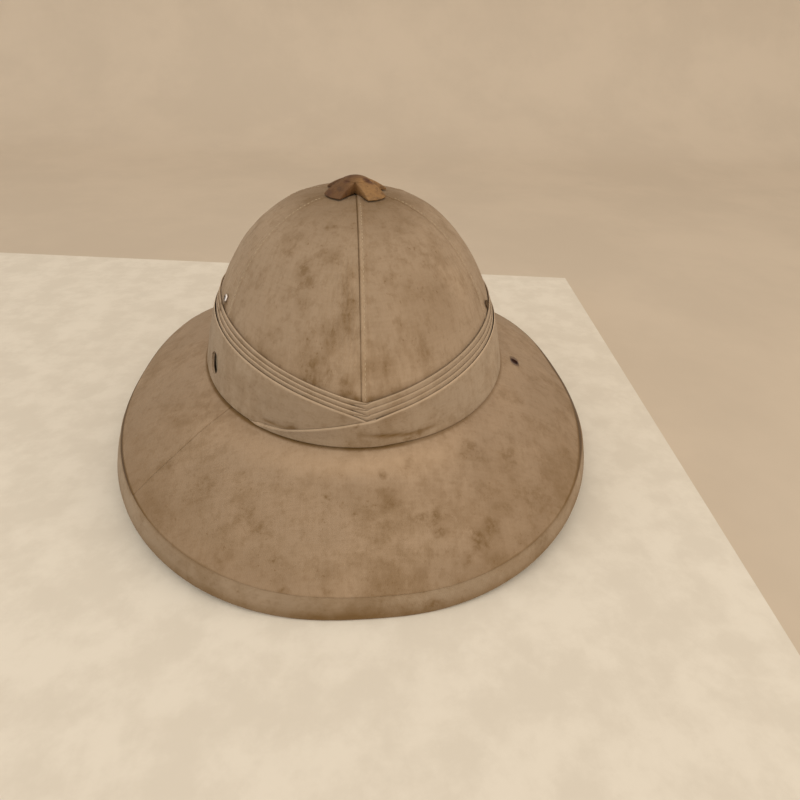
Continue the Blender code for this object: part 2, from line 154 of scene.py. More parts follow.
def base_point(azimuth):
    a = np.radians(azimuth)
    y = CROWN_CENTRE_Y - BASE_HALF_LENGTH * np.cos(a)
    return stacked(BASE_HALF_WIDTH * np.sin(a), y, base_z(azimuth))


def outline_point(azimuth, inset):
    """A point of the brim's plan, this far inside its outer edge, at z 0."""
    a = np.radians(azimuth)
    ray = unit(stacked(np.sin(a), -BRIM_LINE_SPREAD * np.cos(a), 0.0))
    power = BRIM_SQUARENESS
    across = np.abs(ray[..., 0] / (BRIM_HALF_WIDTH - inset)) ** power
    along = np.abs(ray[..., 1] / (BRIM_HALF_LENGTH - inset)) ** power
    return ray * ((across + along) ** (-1 / power))[..., None]


def sideways(azimuth):
    """How far this point of the edge lies to the side: -1 at the left, 1 at the right."""
    return unit(outline_point(azimuth, 0))[..., 0]


def from_front(azimuth):
    """Degrees away from the front, on either side."""
    return np.abs((azimuth + 180) % 360 - 180)


def edge_z(azimuth):
    side = sideways(azimuth)
    share = smooth(np.abs(side), EDGE_FLAT_SHARE, 1)
    return np.where(side > 0, EDGE_RISE_RIGHT, EDGE_RISE_LEFT) * share


def lip_scale(azimuth):
    return 1 - LIP_LEAN * sideways(azimuth)


def seam_point(azimuth):
    scale = lip_scale(azimuth)
    point = outline_point(azimuth, LIP_FLARE * scale)
    point[..., 2] = edge_z(azimuth) + LIP_HEIGHT * scale
    return point


def plan_normal(azimuth):
    """The outward normal of the brim's outer edge, seen from above."""
    along = outline_point(azimuth + 1, 0) - outline_point(azimuth - 1, 0)
    return unit(stacked(along[..., 1], -along[..., 0], 0.0))


def lip_point(azimuth, height, depth):
    """A point this high up the lip and this far inside its outer face, measured level."""
    top, bottom = seam_point(azimuth), outline_point(azimuth, 0)
    bottom[..., 2] = edge_z(azimuth)
    share = height / (top[..., 2] - bottom[..., 2])
    return bottom + (top - bottom) * share[..., None] - plan_normal(azimuth) * np.asarray(depth)[..., None]


def brim_point(azimuth, share):
    """A point on the brim cover, from the band at share 0 to the edge seam at share 1."""
    share = np.asarray(share, float)
    point = base_point(azimuth) * (1 - share)[..., None] + seam_point(azimuth) * share[..., None]
    point[..., 2] += BRIM_BULGE * 4 * share * (1 - share)
    return point


CROWN_REACH = 0.0002
BRIM_REACH = 0.01
TOP_MARGIN = 1e-6


def surface_normal(surface, azimuth, place, reach):
    """A surface's normal, from points half a degree and this reach away on either side."""
    around = surface(azimuth + 0.5, place) - surface(azimuth - 0.5, place)
    up = surface(azimuth, place + reach) - surface(azimuth, place - reach)
    return unit(np.cross(around, up))


def crown_normal(azimuth, z, reach=CROWN_REACH):
    return surface_normal(crown_point, azimuth, z, reach)


def brim_normal(azimuth, share):
    return -surface_normal(brim_point, azimuth, share, BRIM_REACH)


def crown_layer(azimuth, z, depth):
    """A point this far outside the crown's cover."""
    low = np.minimum(z, CROWN_TOP_Z - TOP_MARGIN)
    reach = np.minimum(CROWN_REACH, (CROWN_TOP_Z - low) / 3)
    return crown_point(azimuth, low) + crown_normal(azimuth, low, reach) * np.asarray(depth)[..., None]


def brim_layer(azimuth, share, depth):
    """A point this far outside the brim's cover."""
    return brim_point(azimuth, share) + brim_normal(azimuth, share) * np.asarray(depth)[..., None]


def climb(azimuth, column):
    """This column of FOLD_CLIMB for the side that each azimuth is on."""
    turned = np.radians(azimuth - CROSSING_AZIMUTH)
    return np.where(np.sin(turned) > 0, FOLD_CLIMB[1][column], FOLD_CLIMB[-1][column])


def aside(azimuth):
    """0 where the band crosses at the front, and 1 at the sides."""
    return np.abs(np.sin(np.radians(azimuth - CROSSING_AZIMUTH)))


def folds_top(azimuth):
    return FOLD_TOP_Z + climb(azimuth, 0) * aside(azimuth)


def folds_foot(azimuth):
    return FOLD_FOOT_Z + climb(azimuth, 1) * aside(azimuth) ** climb(azimuth, 2)


def ripple(points, pitch, seed, waves=10):
    """A smooth random value, mostly between -1 and 1, whose hills lie about this far apart."""
    random = np.random.default_rng(seed)
    headings = unit(random.normal(size=(waves, 3))) * random.uniform(0.7, 1.4, (waves, 1))
    phases = random.uniform(0, 2 * np.pi, waves)
    return 2 * np.sin(points @ headings.T * (2 * np.pi / pitch) + phases).mean(axis=-1)


# ---------------------------------------------------------------- laying cloth on a surface


def travelled(points, axis):
    """How far each point of a grid lies from the first one along this axis."""
    steps = np.linalg.norm(np.diff(points, axis=axis), axis=-1)
    first = np.zeros_like(np.take(steps, [0], axis=axis))
    return np.concatenate([first, np.cumsum(steps, axis=axis)], axis=axis)


def made_object(name, shape, material=None, smooth_faces=True):
    """An object of this mesh, at the origin."""
    mesh = bpy.data.meshes.new(name)
    shape.to_mesh(mesh)
    shape.free()
    if material:
        mesh.materials.append(material)
    if smooth_faces:
        mesh.shade_smooth()
    made = bpy.data.objects.new(name, mesh)
    bpy.context.collection.objects.link(made)
    return made


def finished(name, shape, material, closed_ends=False):
    """An object of this mesh, with its seams and poles closed and its faces smooth."""
    bmesh.ops.remove_doubles(shape, verts=shape.verts, dist=1e-6)
    bmesh.ops.dissolve_degenerate(shape, edges=shape.edges, dist=1e-7)
    if closed_ends:
        open_edges = [edge for edge in shape.edges if edge.is_boundary]
        bmesh.ops.holes_fill(shape, edges=open_edges, sides=0)
    return made_object(name, shape, material)


def laid(name, columns, rows, place, material, grime_and_shade=None, flat_map=False, closed_ends=False):
    """Lays a grid of cloth on a surface. place(s, t) gives its points, for shares 0 to 1 of the
    cloth's width and height, and the other function how dark it is there, with dirt and painted shade.

    The UV map is in metres: across from the cloth's middle and up its middle column, or, where
    flat_map is set, the place as seen from above.
    """
    shape = bmesh.new()
    bmesh.ops.create_grid(shape, x_segments=columns, y_segments=rows, size=0.5)
    flat = np.array([vert.co for vert in shape.verts]) + 0.5
    s, t = flat[:, 0], flat[:, 1]
    points = place(s, t)
    dirt_and_shade = np.zeros(len(points)) if grime_and_shade is None else grime_and_shade(s, t)
    if flat_map:
        u, v = points[:, 0], points[:, 1]
    else:
        grid = points.reshape(rows + 1, columns + 1, 3)
        across, up = travelled(grid, 1), travelled(grid, 0)
        middle = columns // 2
        u = (across - across[:, middle, None]).ravel()
        v = np.repeat(up[:, middle], columns + 1)
    uv_layer = shape.loops.layers.uv.new("cloth")
    grime_and_shade_layer = shape.verts.layers.float.new("grime_and_shade")
    for i, vert in enumerate(shape.verts):
        vert.co = points[i]
        vert[grime_and_shade_layer] = dirt_and_shade[i]
        for loop in vert.link_loops:
            loop[uv_layer].uv = (u[i], v[i])
    return finished(name, shape, material, closed_ends)


def section_rows(section, t):
    """The rows of a section's table at these shares of its length."""
    return np.array(section)[np.round(t * (len(section) - 1)).astype(int)]


def strip(name, columns, section, place, material, grime_and_shade):
    """A strip of cloth with a closed section. place(s, entry) gives its points and the other function
    how dark they are, with dirt and painted shade, where entry is the number of the section's row
    that each comes from.
    """
    count = len(section)

    def entry(t):
        return np.round(t * count).astype(int) % count

    made = laid(
        name, columns, count, lambda s, t: place(s, entry(t)), material,
        lambda s, t: grime_and_shade(s, entry(t)), closed_ends=True,
    )
    subdivide(made)
    return made


def thicken(piece, thickness):
    wall = piece.modifiers.new("wall", "SOLIDIFY")
    wall.thickness = thickness
    wall.offset = -1
    wall.use_even_offset = True


def subdivide(piece, levels=1):
    finer = piece.modifiers.new("finer", "SUBSURF")
    finer.levels = levels
    finer.render_levels = levels


def settled(piece):
    """Applies a piece's modifiers."""
    graph = bpy.context.evaluated_depsgraph_get()
    mesh = bpy.data.meshes.new_from_object(piece.evaluated_get(graph))
    piece.modifiers.clear()
    piece.data = mesh
    mesh.name = piece.name


def facing(place, normal):
    """A matrix that puts local +Z along the normal, at the place."""
    turn = Vector(normal).to_track_quat("Z", "Y").to_matrix().to_4x4()
    turn.translation = Vector(place)
    return turn


def pierced(piece, radius, place, normal, reach):
    """Cuts a round hole through a piece."""
    shape = bmesh.new()
    bmesh.ops.create_cone(
        shape, cap_ends=True, segments=32, radius1=radius, radius2=radius, depth=2 * reach
    )
    bmesh.ops.transform(shape, matrix=facing(place, normal), verts=shape.verts)
    cutter = made_object("cutter", shape, smooth_faces=False)
    hole = piece.modifiers.new("hole", "BOOLEAN")
    hole.operation = "DIFFERENCE"
    hole.object = cutter
    settled(piece)
    bpy.data.objects.remove(cutter)


def crowded(share, amount):
    """Shares 0 to 1 that lie closer together at both ends."""
    return share - amount * np.sin(2 * np.pi * share) / (2 * np.pi)


def placed(piece, slot, *nodes):
    """Fixes a piece to the helmet, where it stands for these nodes of the frame."""
    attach(piece, "root")
    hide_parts(*nodes)


# ---------------------------------------------------------------- materials


class Wire:
    """An output of a material's node. Python's operators on wires add Math nodes."""

    def __init__(self, tree, socket=None):
        self.tree = tree
        self.socket = socket

    def node(self, kind, settings=None, inputs=None, output=0):
        """Adds a node of this type. Inputs are wires, or plain values."""
        made = self.tree.nodes.new("ShaderNode" + kind)
        for key, value in (settings or {}).items():
            setattr(made, key, value)
        for key, value in (inputs or {}).items():
            if isinstance(value, Wire):
                self.tree.links.new(value.socket, made.inputs[key])
            else:
                made.inputs[key].default_value = value
        return Wire(self.tree, made.outputs[output])

    def maths(self, operation, first, second=0.0, clamp=False):
        settings = {"operation": operation, "use_clamp": clamp}
        return self.node("Math", settings, {0: first, 1: second})

    def __add__(self, other):
        return self.maths("ADD", self, other)

    __radd__ = __add__

    def __sub__(self, other):
        return self.maths("SUBTRACT", self, other)

    def __rsub__(self, other):
        return self.maths("SUBTRACT", other, self)

    def __mul__(self, other):
        return self.maths("MULTIPLY", self, other)

    __rmul__ = __mul__

    def clipped(self):
        return self.maths("ADD", self, 0.0, clamp=True)

    def wave(self):
        return self.maths("SINE", self)


def between(value, low, high):
    """0 where the value is low and 1 where it is high, smooth between."""
    settings = {"interpolation_type": "SMOOTHSTEP"}
    return value.node("MapRange", settings, {"Value": value, "From Min": low, "From Max": high})


def blotches(where, size, detail=4.0, roughness=0.55):
    """Cloudy noise, about 0.3 to 0.7, whose clouds are this many metres across."""
    inputs = {"Vector": where, "Scale": 1 / size, "Detail": detail, "Roughness": roughness}
    return where.node("TexNoise", None, inputs)


def tinted(under, over, share):
    """One colour over another, by this share."""
    return share.node("Mix", {"data_type": "RGBA"}, {0: share, 6: under, 7: over}, output=2)


def stretched(where, along, across, up):
    """Coordinates squeezed so that what is drawn on them comes out this much longer each way."""
    scale = (1 / along, 1 / across, 1 / up)
    return where.node("VectorMath", {"operation": "MULTIPLY"}, {0: where, 1: scale})


def relief(height, depth, normal=None):
    """A bumped normal, where a height of 1 stands this many metres proud."""
    inputs = {"Height": height, "Distance": depth, "Strength": 1.0}
    if normal is not None:
        inputs["Normal"] = normal
    return height.node("Bump", None, inputs)


def new_material(name, roughness, **sockets):
    """A material, its shader, and a wire that holds the piece's own coordinates."""
    made = bpy.data.materials.new(name)
    made.use_nodes = True
    shader = made.node_tree.nodes["Principled BSDF"]
    shader.inputs["Roughness"].default_value = roughness
    for key, value in sockets.items():
        shader.inputs[key.replace("_", " ")].default_value = value
    return made, shader, Wire(made.node_tree).node("TexCoord", output="Object")


def paint(shader, socket, wire):
    wire.tree.links.new(wire.socket, shader.inputs[socket])


def rgb(red, green, blue):
    return (red, green, blue, 1.0)


# dust and dirt, also used for painted shade
DUST_AND_SHADE_BROWN = rgb(0.155, 0.086, 0.028)
# the deepest painted shade, in seams and along edges
SEAM_AND_SHADE_BROWN = rgb(0.062, 0.032, 0.014)
SHADE_BROWN = rgb(0.230, 0.180, 0.120)
# a burn, darkened further for painted shade in the brim's hole
BURNT_AND_SHADE = rgb(0.047, 0.015, 0.009)
LEATHER_DARK = rgb(0.134, 0.060, 0.019)
LEATHER_TAN = rgb(0.290, 0.158, 0.060)
LEATHER_BLOTCH = rgb(0.045, 0.017, 0.008)
LEATHER_SPECK = rgb(0.035, 0.018, 0.010)
# leather stains, also used for painted shade by the knob and on the side petal
LEATHER_STAIN_AND_SHADE = rgb(0.075, 0.022, 0.008)
PITH_PALE = rgb(0.50, 0.41, 0.28)
PITH_BROWN = rgb(0.34, 0.25, 0.15)
PITH_FIBRE = rgb(0.18, 0.12, 0.07)
STEEL_GREY = rgb(0.50, 0.47, 0.47)
STEEL_TARNISH = rgb(0.160, 0.112, 0.074)
# the colour of the painted highlight on the left eyelet
STEEL_HIGHLIGHT = rgb(0.95, 0.93, 0.97)
THREAD_DARK = rgb(0.40, 0.31, 0.21)
THREAD_PALE = rgb(0.56, 0.45, 0.32)
TABLE_PALE = rgb(0.768, 0.726, 0.669)
TABLE_WHITE = rgb(0.84, 0.801, 0.746)
GROUND_BROWN = rgb(0.62, 0.54, 0.46)
GROUND_PALE = rgb(0.66, 0.575, 0.49)


def crown_spot(azimuth, z, radius, strength):
    """A row of a table of spots, for this place on the crown."""
    return (*crown_point(azimuth, z), radius, strength)


def eyelet_spot(side, turn, rise, radius, strength):
    """A row for the place this many degrees and metres from an eyelet's middle."""
    azimuth, z = EYELETS[side]
    return crown_spot(azimuth + turn, z + rise, radius, strength)


def brim_spot(azimuth, share, radius, strength):
    """A row of a table of spots, for this place on the brim."""
    return (*brim_point(azimuth, share), radius, strength)


CROWN_STAINS = [
    # x, y, z, radius, strength
    (-0.0145, -0.0585, 0.1472, 0.0058, 0.75),
    (-0.0341, -0.0552, 0.1424, 0.0066, 0.50),
    (-0.0349, -0.0637, 0.1377, 0.0070, 0.55),
    (-0.0286, -0.0768, 0.1318, 0.0080, 0.62),
    (-0.0250, -0.0824, 0.1287, 0.0074, 0.58),
    (-0.0283, -0.0902, 0.1189, 0.0074, 0.42),
    (-0.0149, -0.1045, 0.1051, 0.0064, 0.35),
    (-0.0268, -0.1015, 0.1039, 0.0064, 0.40),
    (-0.0252, -0.1100, 0.0878, 0.0120, 0.75),
    (-0.0066, -0.0905, 0.1259, 0.0060, 0.50),
    (-0.0052, -0.0968, 0.1189, 0.0060, 0.68),
    (-0.0067, -0.1007, 0.1134, 0.0060, 0.60),
    (-0.0085, -0.1140, 0.0850, 0.0070, 0.45),
    (0.0121, -0.1113, 0.0929, 0.0097, 0.32),
    (0.0332, -0.1018, 0.0980, 0.0090, 0.32),
    (0.0231, -0.0909, 0.1208, 0.0075, 0.28),
    (0.0222, -0.0757, 0.1354, 0.0058, 0.36),
    (0.0350, -0.0703, 0.1334, 0.0062, 0.36),
    (0.0139, -0.0661, 0.1436, 0.0064, 0.38),
    (0.0116, -0.0567, 0.1483, 0.0075, 0.32),
    (-0.0172, -0.0756, 0.1369, 0.0093, 0.34),
    (-0.0267, -0.0227, 0.1530, 0.0067, 0.65),
    (-0.0644, -0.0642, 0.1094, 0.0090, 0.25),
    # dark marks below and round the eyelets
    eyelet_spot(-1, 0, -0.0040, 0.0064, 1.00),
    eyelet_spot(-1, 0, -0.0034, 0.0048, 1.00),
    eyelet_spot(1, 0, 0.0010, 0.0070, 0.65),
]
VENT_PAINTED_SHADE = [
    # painted shade on the crown's cloth inside the vent
    crown_spot(VENT_AZIMUTH, VENT_Z, 0.0115, 1.00),
]
EYELET_PAINTED_HIGHLIGHT = [
    # a painted highlight on the left eyelet
    eyelet_spot(-1, 1.2, 0.0010, 0.0030, 1.00),
]
BRIM_STAINS = [
    # x, y, z, radius, strength
    (-0.1049, -0.1138, 0.0359, 0.0090, 0.50),
    (-0.0810, -0.1290, 0.0379, 0.0130, 0.42),
    (-0.0822, -0.1385, 0.0329, 0.0110, 0.42),
    (-0.0570, -0.1493, 0.0332, 0.0085, 0.55),
    (-0.0519, -0.1564, 0.0297, 0.0080, 0.50),
    (-0.0406, -0.1414, 0.0407, 0.0075, 0.30),
    (-0.0854, -0.0817, 0.0523, 0.0060, 0.41),
    (-0.0182, -0.1460, 0.0406, 0.0030, 0.90),
    (0.0099, -0.1382, 0.0457, 0.0046, 0.60),
    (0.0125, -0.1494, 0.0388, 0.0060, 0.55),
    (0.0248, -0.1330, 0.0474, 0.0070, 0.40),
    (0.0061, -0.1614, 0.0307, 0.0093, 0.40),
    (0.0286, -0.1571, 0.0320, 0.0080, 0.60),
    (0.0369, -0.1555, 0.0322, 0.0056, 0.80),
    (0.0362, -0.1618, 0.0279, 0.0042, 0.75),
    (0.0566, -0.1638, 0.0232, 0.0075, 0.85),
    (0.0642, -0.1577, 0.0257, 0.0060, 0.70),
    (0.0496, -0.1726, 0.0181, 0.0050, 0.80),
    (0.0586, -0.1223, 0.0465, 0.0110, 0.50),
    (0.0807, -0.1212, 0.0408, 0.0110, 0.45),
    (0.0946, -0.1406, 0.0269, 0.0140, 0.50),
    (-0.0390, -0.1818, 0.0131, 0.0042, 0.80),
    (-0.0173, -0.1845, 0.0127, 0.0050, 0.90),
    (0.0087, -0.1854, 0.0121, 0.0048, 0.58),
    (0.0950, -0.1577, 0.0139, 0.0120, 0.55),
]
EDGE_STAINS = [
    # x, y, z, radius, strength
    (0.0950, -0.1577, 0.0139, 0.0120, 0.43),
    (0.0323, -0.1862, 0.0039, 0.0075, 1.00),
    (0.0180, -0.1880, 0.0040, 0.0090, 0.60),
    (0.0060, -0.1890, 0.0030, 0.0090, 0.80),
]
BAND_STAINS_AND_SHADE = [
    # x, y, z, radius, strength
    # these two rows: dark marks on the top left pleats below the eyelet
    crown_spot(-67.0, 0.0985, 0.0058, 1.00),
    crown_spot(-67.5, 0.0965, 0.0052, 1.00),
    (0.0238, -0.1190, 0.0564, 0.0062, 1.00),
    (0.0290, -0.1175, 0.0578, 0.0062, 1.00),
    # these two rows: dark marks in the creases at the lap's left end, dirt and painted shade
    (-0.0490, -0.1060, 0.0560, 0.0060, 0.60),
    (-0.0370, -0.1135, 0.0603, 0.0050, 0.85),
    # this row: painted shadow under the left wrap's edge where the band crosses
    (-0.0025, -0.1225, 0.0655, 0.0036, 1.00),
    (0.0010, -0.1225, 0.0600, 0.0070, 0.55),
    (0.0450, -0.1120, 0.0640, 0.0070, 0.40),
]
HOLE_BURN_AND_SHADE = [
    # the dark pit in the brim's hole, a burn with painted shade in it, and its burnt rim before and behind
    brim_spot(BRIM_HOLE_AZIMUTH, BRIM_HOLE_SHARE, 0.0038, 1.00),
    brim_spot(BRIM_HOLE_AZIMUTH - 0.95, BRIM_HOLE_SHARE, 0.0040, 0.55),
    brim_spot(BRIM_HOLE_AZIMUTH + 1.25, BRIM_HOLE_SHARE, 0.0040, 0.55),
]


def stained(shade, colour, where, spots, drop=1.0, softness=0.3, mottle=None):
    """A colour over a shade in spots, which are drop times taller than wide.

    Softness is the share of a spot's radius over which it fades out, and mottle breaks it up.
    """
    where = stretched(where, 1, 1, drop)
    for x, y, z, radius, strength in spots:
        centre = (x, y, z / drop)
        away = where.node("VectorMath", {"operation": "DISTANCE"}, {0: where, 1: centre}, 1)
        share = between(away, radius, radius * (1 - softness)) * strength
        if mottle is not None:
            share = share * mottle
        shade = tinted(shade, colour, share.clipped())
    return shade


CLOTH_FINISH = {"Sheen_Weight": 0.10, "Sheen_Roughness": 0.6, "Specular_IOR_Level": 0.25}
PALE_TIMES = 1.35
# how much paler edges are painted, for wear and for painted highlights on folded edges
WEAR_AND_HIGHLIGHT_TIMES = 1.65
THREAD_SIZE = 0.0015
SPECK_SIZE = 0.0019
FLECK_SIZE = 0.0048
FRAY_SCALE = 150.0
FRAY_REACH = 0.011
WEAVE_HEIGHT = 0.00006
RUMPLE_HEIGHT = 0.0008
LEATHER_GRAIN = 0.00012
PITH_GRAIN = 0.0004
SPOT_DROP = 1.6


def brighter(colour, times):
    return rgb(*(min(1, channel * times) for channel in colour[:3]))


def frayed(place):
    """Coordinates that wander, so that what is drawn on them has a ragged outline."""
    wander = place.node("TexNoise", None, {"Vector": place, "Scale": FRAY_SCALE, "Detail": 4.0}, output=1)
    centred = wander.node("VectorMath", {"operation": "SUBTRACT"}, {0: wander, 1: (0.5,) * 3})
    inputs = {0: centred, 1: (FRAY_REACH,) * 3, 2: place}
    return centred.node("VectorMath", {"operation": "MULTIPLY_ADD"}, inputs)


def cloth_material(name, colour, weave, stains=(), spots=(), drop=1.0, soil=1.0, pit=BURNT_AND_SHADE):
    """Worn khaki cotton: a twill weave, uneven fading, ground-in dirt and separate stains.

    The attribute of dirt and painted shade darkens the cloth where it is above 0, more deeply above
    1, and bleaches it below 0, for wear and for painted highlights on folded edges. Weave is the
    distance between the twill's ribs, drop is how many times taller than wide the marks are, soil
    scales the ground-in dirt, and pit is the colour of the spots: painted shade in the vent, and a
    burn with painted shade in the brim's hole.
    """
    made, shader, place = new_material(name, 0.92, **CLOTH_FINISH)
    cloth = place.node("UVMap", {"uv_map": "cloth"})
    grime_and_shade = place.node("Attribute", {"attribute_name": "grime_and_shade"}, output="Fac")

    broad = blotches(place, 0.055, 3)
    middle = blotches(place, 0.016, 5, 0.6)
    hanging = blotches(stretched(place, 1, 1, 3 * drop), 0.007, 4, 0.6)
    flecks = blotches(stretched(place, 1, 1, drop), FLECK_SIZE, 5, 0.68)
    specks = blotches(stretched(place, 1, 1, drop), SPECK_SIZE, 3, 0.6)
    warp = blotches(stretched(cloth, 1, 8, 1), THREAD_SIZE, 3, 0.6)
    weft = blotches(stretched(cloth, 8, 1, 1), THREAD_SIZE, 3, 0.6)

    # random dirt, the weave's tone, and the attribute's dirt and painted shade
    dirt_and_shade = [
        between(broad * 0.35 + middle * 0.35 + hanging * 0.3, 0.47, 0.62) * (0.34 * soil),
        between(flecks, 0.50, 0.66) * (0.20 * soil),
        between(specks, 0.60, 0.72) * between(middle, 0.44, 0.60) * (0.45 * soil),
        between(warp * 0.5 + weft * 0.5, 0.44, 0.58) * 0.09,
        (grime_and_shade * (0.45 + middle * 1.1)).clipped(),
    ]
    shade = tinted(colour, brighter(colour, PALE_TIMES), between(broad, 0.42, 0.68) * 0.35)
    for share in dirt_and_shade:
        shade = tinted(shade, DUST_AND_SHADE_BROWN, share)
    # deeper painted shade where the attribute is above 1
    shade = tinted(shade, SEAM_AND_SHADE_BROWN, (grime_and_shade * 1.5 - 1.5).clipped())
    # paler below 0: wear, and painted highlights on folded edges
    shade = tinted(shade, brighter(colour, WEAR_AND_HIGHLIGHT_TIMES), (grime_and_shade * -1.0).clipped())
    clumps = 0.40 + between(flecks * 0.65 + specks * 0.35, 0.42, 0.59) * 0.60
    shade = stained(shade, DUST_AND_SHADE_BROWN, frayed(place), stains, drop, 1.0, clumps)
    shade = stained(shade, pit, place, spots, SPOT_DROP)
    paint(shader, "Base Color", shade)

    across = cloth.node("SeparateXYZ", None, {0: cloth})
    along = cloth.node("SeparateXYZ", None, {0: cloth}, output=1)
    ribs = ((across + along * 0.6) * (2 * math.pi / weave)).wave()
    threads = ((across * -0.5 + along) * (2 * math.pi / (weave * 0.55))).wave()
    bumps = ribs * 0.4 + threads * 0.2 + warp + weft
    paint(shader, "Normal", relief(bumps, WEAVE_HEIGHT, relief(middle, RUMPLE_HEIGHT)))
    return made


CAP_MARKS_AND_SHADE = [
    # x, y, z, radius, strength
    (-0.0005, -0.0110, 0.1648, 0.0095, 0.60),
    # these two rows: the knob's two front ends, stains and painted shade in the gaps
    (-0.0056, -0.0200, 0.1632, 0.0032, 0.70),
    (0.0074, -0.0175, 0.1633, 0.0052, 0.95),
    # this row: painted shade on the right side petal
    (0.0195, 0.0000, 0.1560, 0.0044, 0.85),
    (-0.0170, -0.0250, 0.1580, 0.0060, 0.60),
    (0.0118, -0.0270, 0.1605, 0.0030, 0.50),
]


def leather_material():
    """Old polished leather, darker on the left and tan on the right, with stains and painted shade by the
    knob.
    """
    made, shader, place = new_material("cap leather", 0.5)
    x = place.node("SeparateXYZ", None, {0: place})
    broad = blotches(place, 0.012, 3)
    fine = blotches(place, 0.0016, 4, 0.65)
    middle = blotches(place, 0.0045, 3, 0.6)
    paler_share = between(x + broad * 0.012, -0.001, 0.011)
    shade = tinted(LEATHER_DARK, LEATHER_TAN, paler_share)
    shade = tinted(shade, LEATHER_BLOTCH, between(middle, 0.50, 0.68) * 0.50)
    shade = tinted(shade, LEATHER_SPECK, between(fine, 0.45, 0.75) * 0.3)
    shade = stained(shade, LEATHER_STAIN_AND_SHADE, place, CAP_MARKS_AND_SHADE, softness=0.7)
    paint(shader, "Base Color", shade)
    paint(shader, "Roughness", 0.45 + fine * 0.25)
    cells = place.node("TexVoronoi", None, {"Vector": place, "Scale": 900.0})
    paint(shader, "Normal", relief(cells * 0.7 + fine, LEATHER_GRAIN))
    return made


def pith_material():
    """The moulded pith: pale, fibrous and dull."""
    made, shader, place = new_material("moulded pith", 0.95)
    fibres = blotches(stretched(place, 3.0, 3.0, 0.6), 0.0016, 5, 0.65)
    broad = blotches(place, 0.03, 3)
    shade = tinted(PITH_PALE, PITH_BROWN, between(broad, 0.40, 0.70))
    shade = tinted(shade, PITH_FIBRE, between(fibres, 0.52, 0.72) * 0.6)
    # the burn and painted shade in the brim's hole
    shade = stained(shade, BURNT_AND_SHADE, place, HOLE_BURN_AND_SHADE)
    paint(shader, "Base Color", shade)
    paint(shader, "Normal", relief(fibres, PITH_GRAIN))
    return made


def steel_material():
    """Metal with a blotchy brown tarnish, brown all over on the right, and a painted highlight on the left
    eyelet.
    """
    made, shader, place = new_material("dull steel", 0.35, Metallic=1.0)
    x = place.node("SeparateXYZ", None, {0: place})
    tarnish = between(blotches(place, 0.0012, 4), 0.40, 0.60)
    tarnish = (tarnish * 0.6 + 0.3 + between(x, -0.01, 0.01)).clipped()
    shade = tinted(STEEL_GREY, STEEL_TARNISH, tarnish)
    # a painted highlight on the left eyelet's ring
    shade = stained(shade, STEEL_HIGHLIGHT, place, EYELET_PAINTED_HIGHLIGHT)
    paint(shader, "Base Color", shade)
    paint(shader, "Roughness", 0.25 + tarnish * 0.4)
    return made


def thread_material():
    """Cotton thread, a little paler than the cloth."""
    made, shader, place = new_material("sewing thread", 0.8)
    paint(shader, "Base Color", tinted(THREAD_DARK, THREAD_PALE, blotches(place, 0.004, 2)))
    return made


def stage_material(name, colour, other, size):
    """A dull surface with clouds of another colour, of this size."""
    made, shader, place = new_material(name, 0.75)
    clouds = between(blotches(place, size, 5, 0.65), 0.38, 0.64)
    paint(shader, "Base Color", tinted(colour, other, clouds))
    return made


DRILL = cloth_material(
    "khaki drill, crown", rgb(0.359, 0.265, 0.187), 0.0009, CROWN_STAINS, VENT_PAINTED_SHADE, 2.0, 1.15,
    pit=SHADE_BROWN,
)
BRIM_DRILL = cloth_material(
    "khaki drill, brim", rgb(0.349, 0.252, 0.175), 0.0009, BRIM_STAINS, HOLE_BURN_AND_SHADE
)
EDGE_DRILL = cloth_material("khaki drill, edge", rgb(0.325, 0.243, 0.171), 0.0009, EDGE_STAINS)
BAND = cloth_material(
    "khaki band cloth", rgb(0.355, 0.271, 0.198), 0.0006, BAND_STAINS_AND_SHADE, drop=0.6, soil=0.95
)
LEATHER = leather_material()
PITH = pith_material()
STEEL = steel_material()
THREAD = thread_material()


# ---------------------------------------------------------------- crown

PANEL_COLUMNS = 80
PANEL_ROWS = 110
PANEL_LENGTH = 0.145
PANEL_REACH = 0.98
PANEL_CROWDING = 0.8
FRONT_SEAM_DIP = 0.00028
SIDE_SEAM_DIP = 0.00006
FRONT_WELT_RISE = 0.00045
SIDE_WELT_RISE = 0.00018
WELT_EDGE = 0.0012
WELT_TOP = 0.0014
# how much paler the welt's top is painted, as a highlight
WELT_HIGHLIGHT = 800
WELT_SHADE = 0.0006
GROOVE_SHARE = 0.25
GROOVE_WIDTH = 0.0005
ROLL = 0.00035
SEAM_SHADE = 0.00042
SEAM_GRIME = 2200
PUCKER = 0.00014
PUCKER_PITCH = 0.0068
PUCKER_PLACE = 0.002
PUCKER_WIDTH = 0.006
UNDULATION = 0.00035
FLUTTER = 0.00012
SEWN_WIDTH = 0.012
CRINKLE = 0.00022
CRINKLE_PITCH = 0.0026
CRINKLE_PLACE = 0.010
CRINKLE_WIDTH = 0.008
CRINKLE_START = (0.085, 0.105)
CRINKLE_END = (0.130, 0.145)


def crown_speed(azimuth, z):
    """Metres along the surface for each degree of azimuth."""
    a = np.radians(azimuth)
    across = np.hypot(np.cos(a), CROWN_LENGTH_RATIO * np.sin(a))
    return crown_radius(z) * across * math.pi / 180


def crown_waves(points, ease):
    """How far the crown's cloth waves in and out, less where it is sewn down and ease is 0."""
    slow = ripple(points, pitch=0.045, seed=11)
    quick = ripple(points, pitch=0.012, seed=12)
    return UNDULATION * slow * (0.3 + 0.7 * ease) + FLUTTER * quick


def seam_dip(number):
    """How far the cloth sinks at the seam before this panel. The front one is the deepest."""
    return SIDE_SEAM_DIP if number % PANELS else FRONT_SEAM_DIP


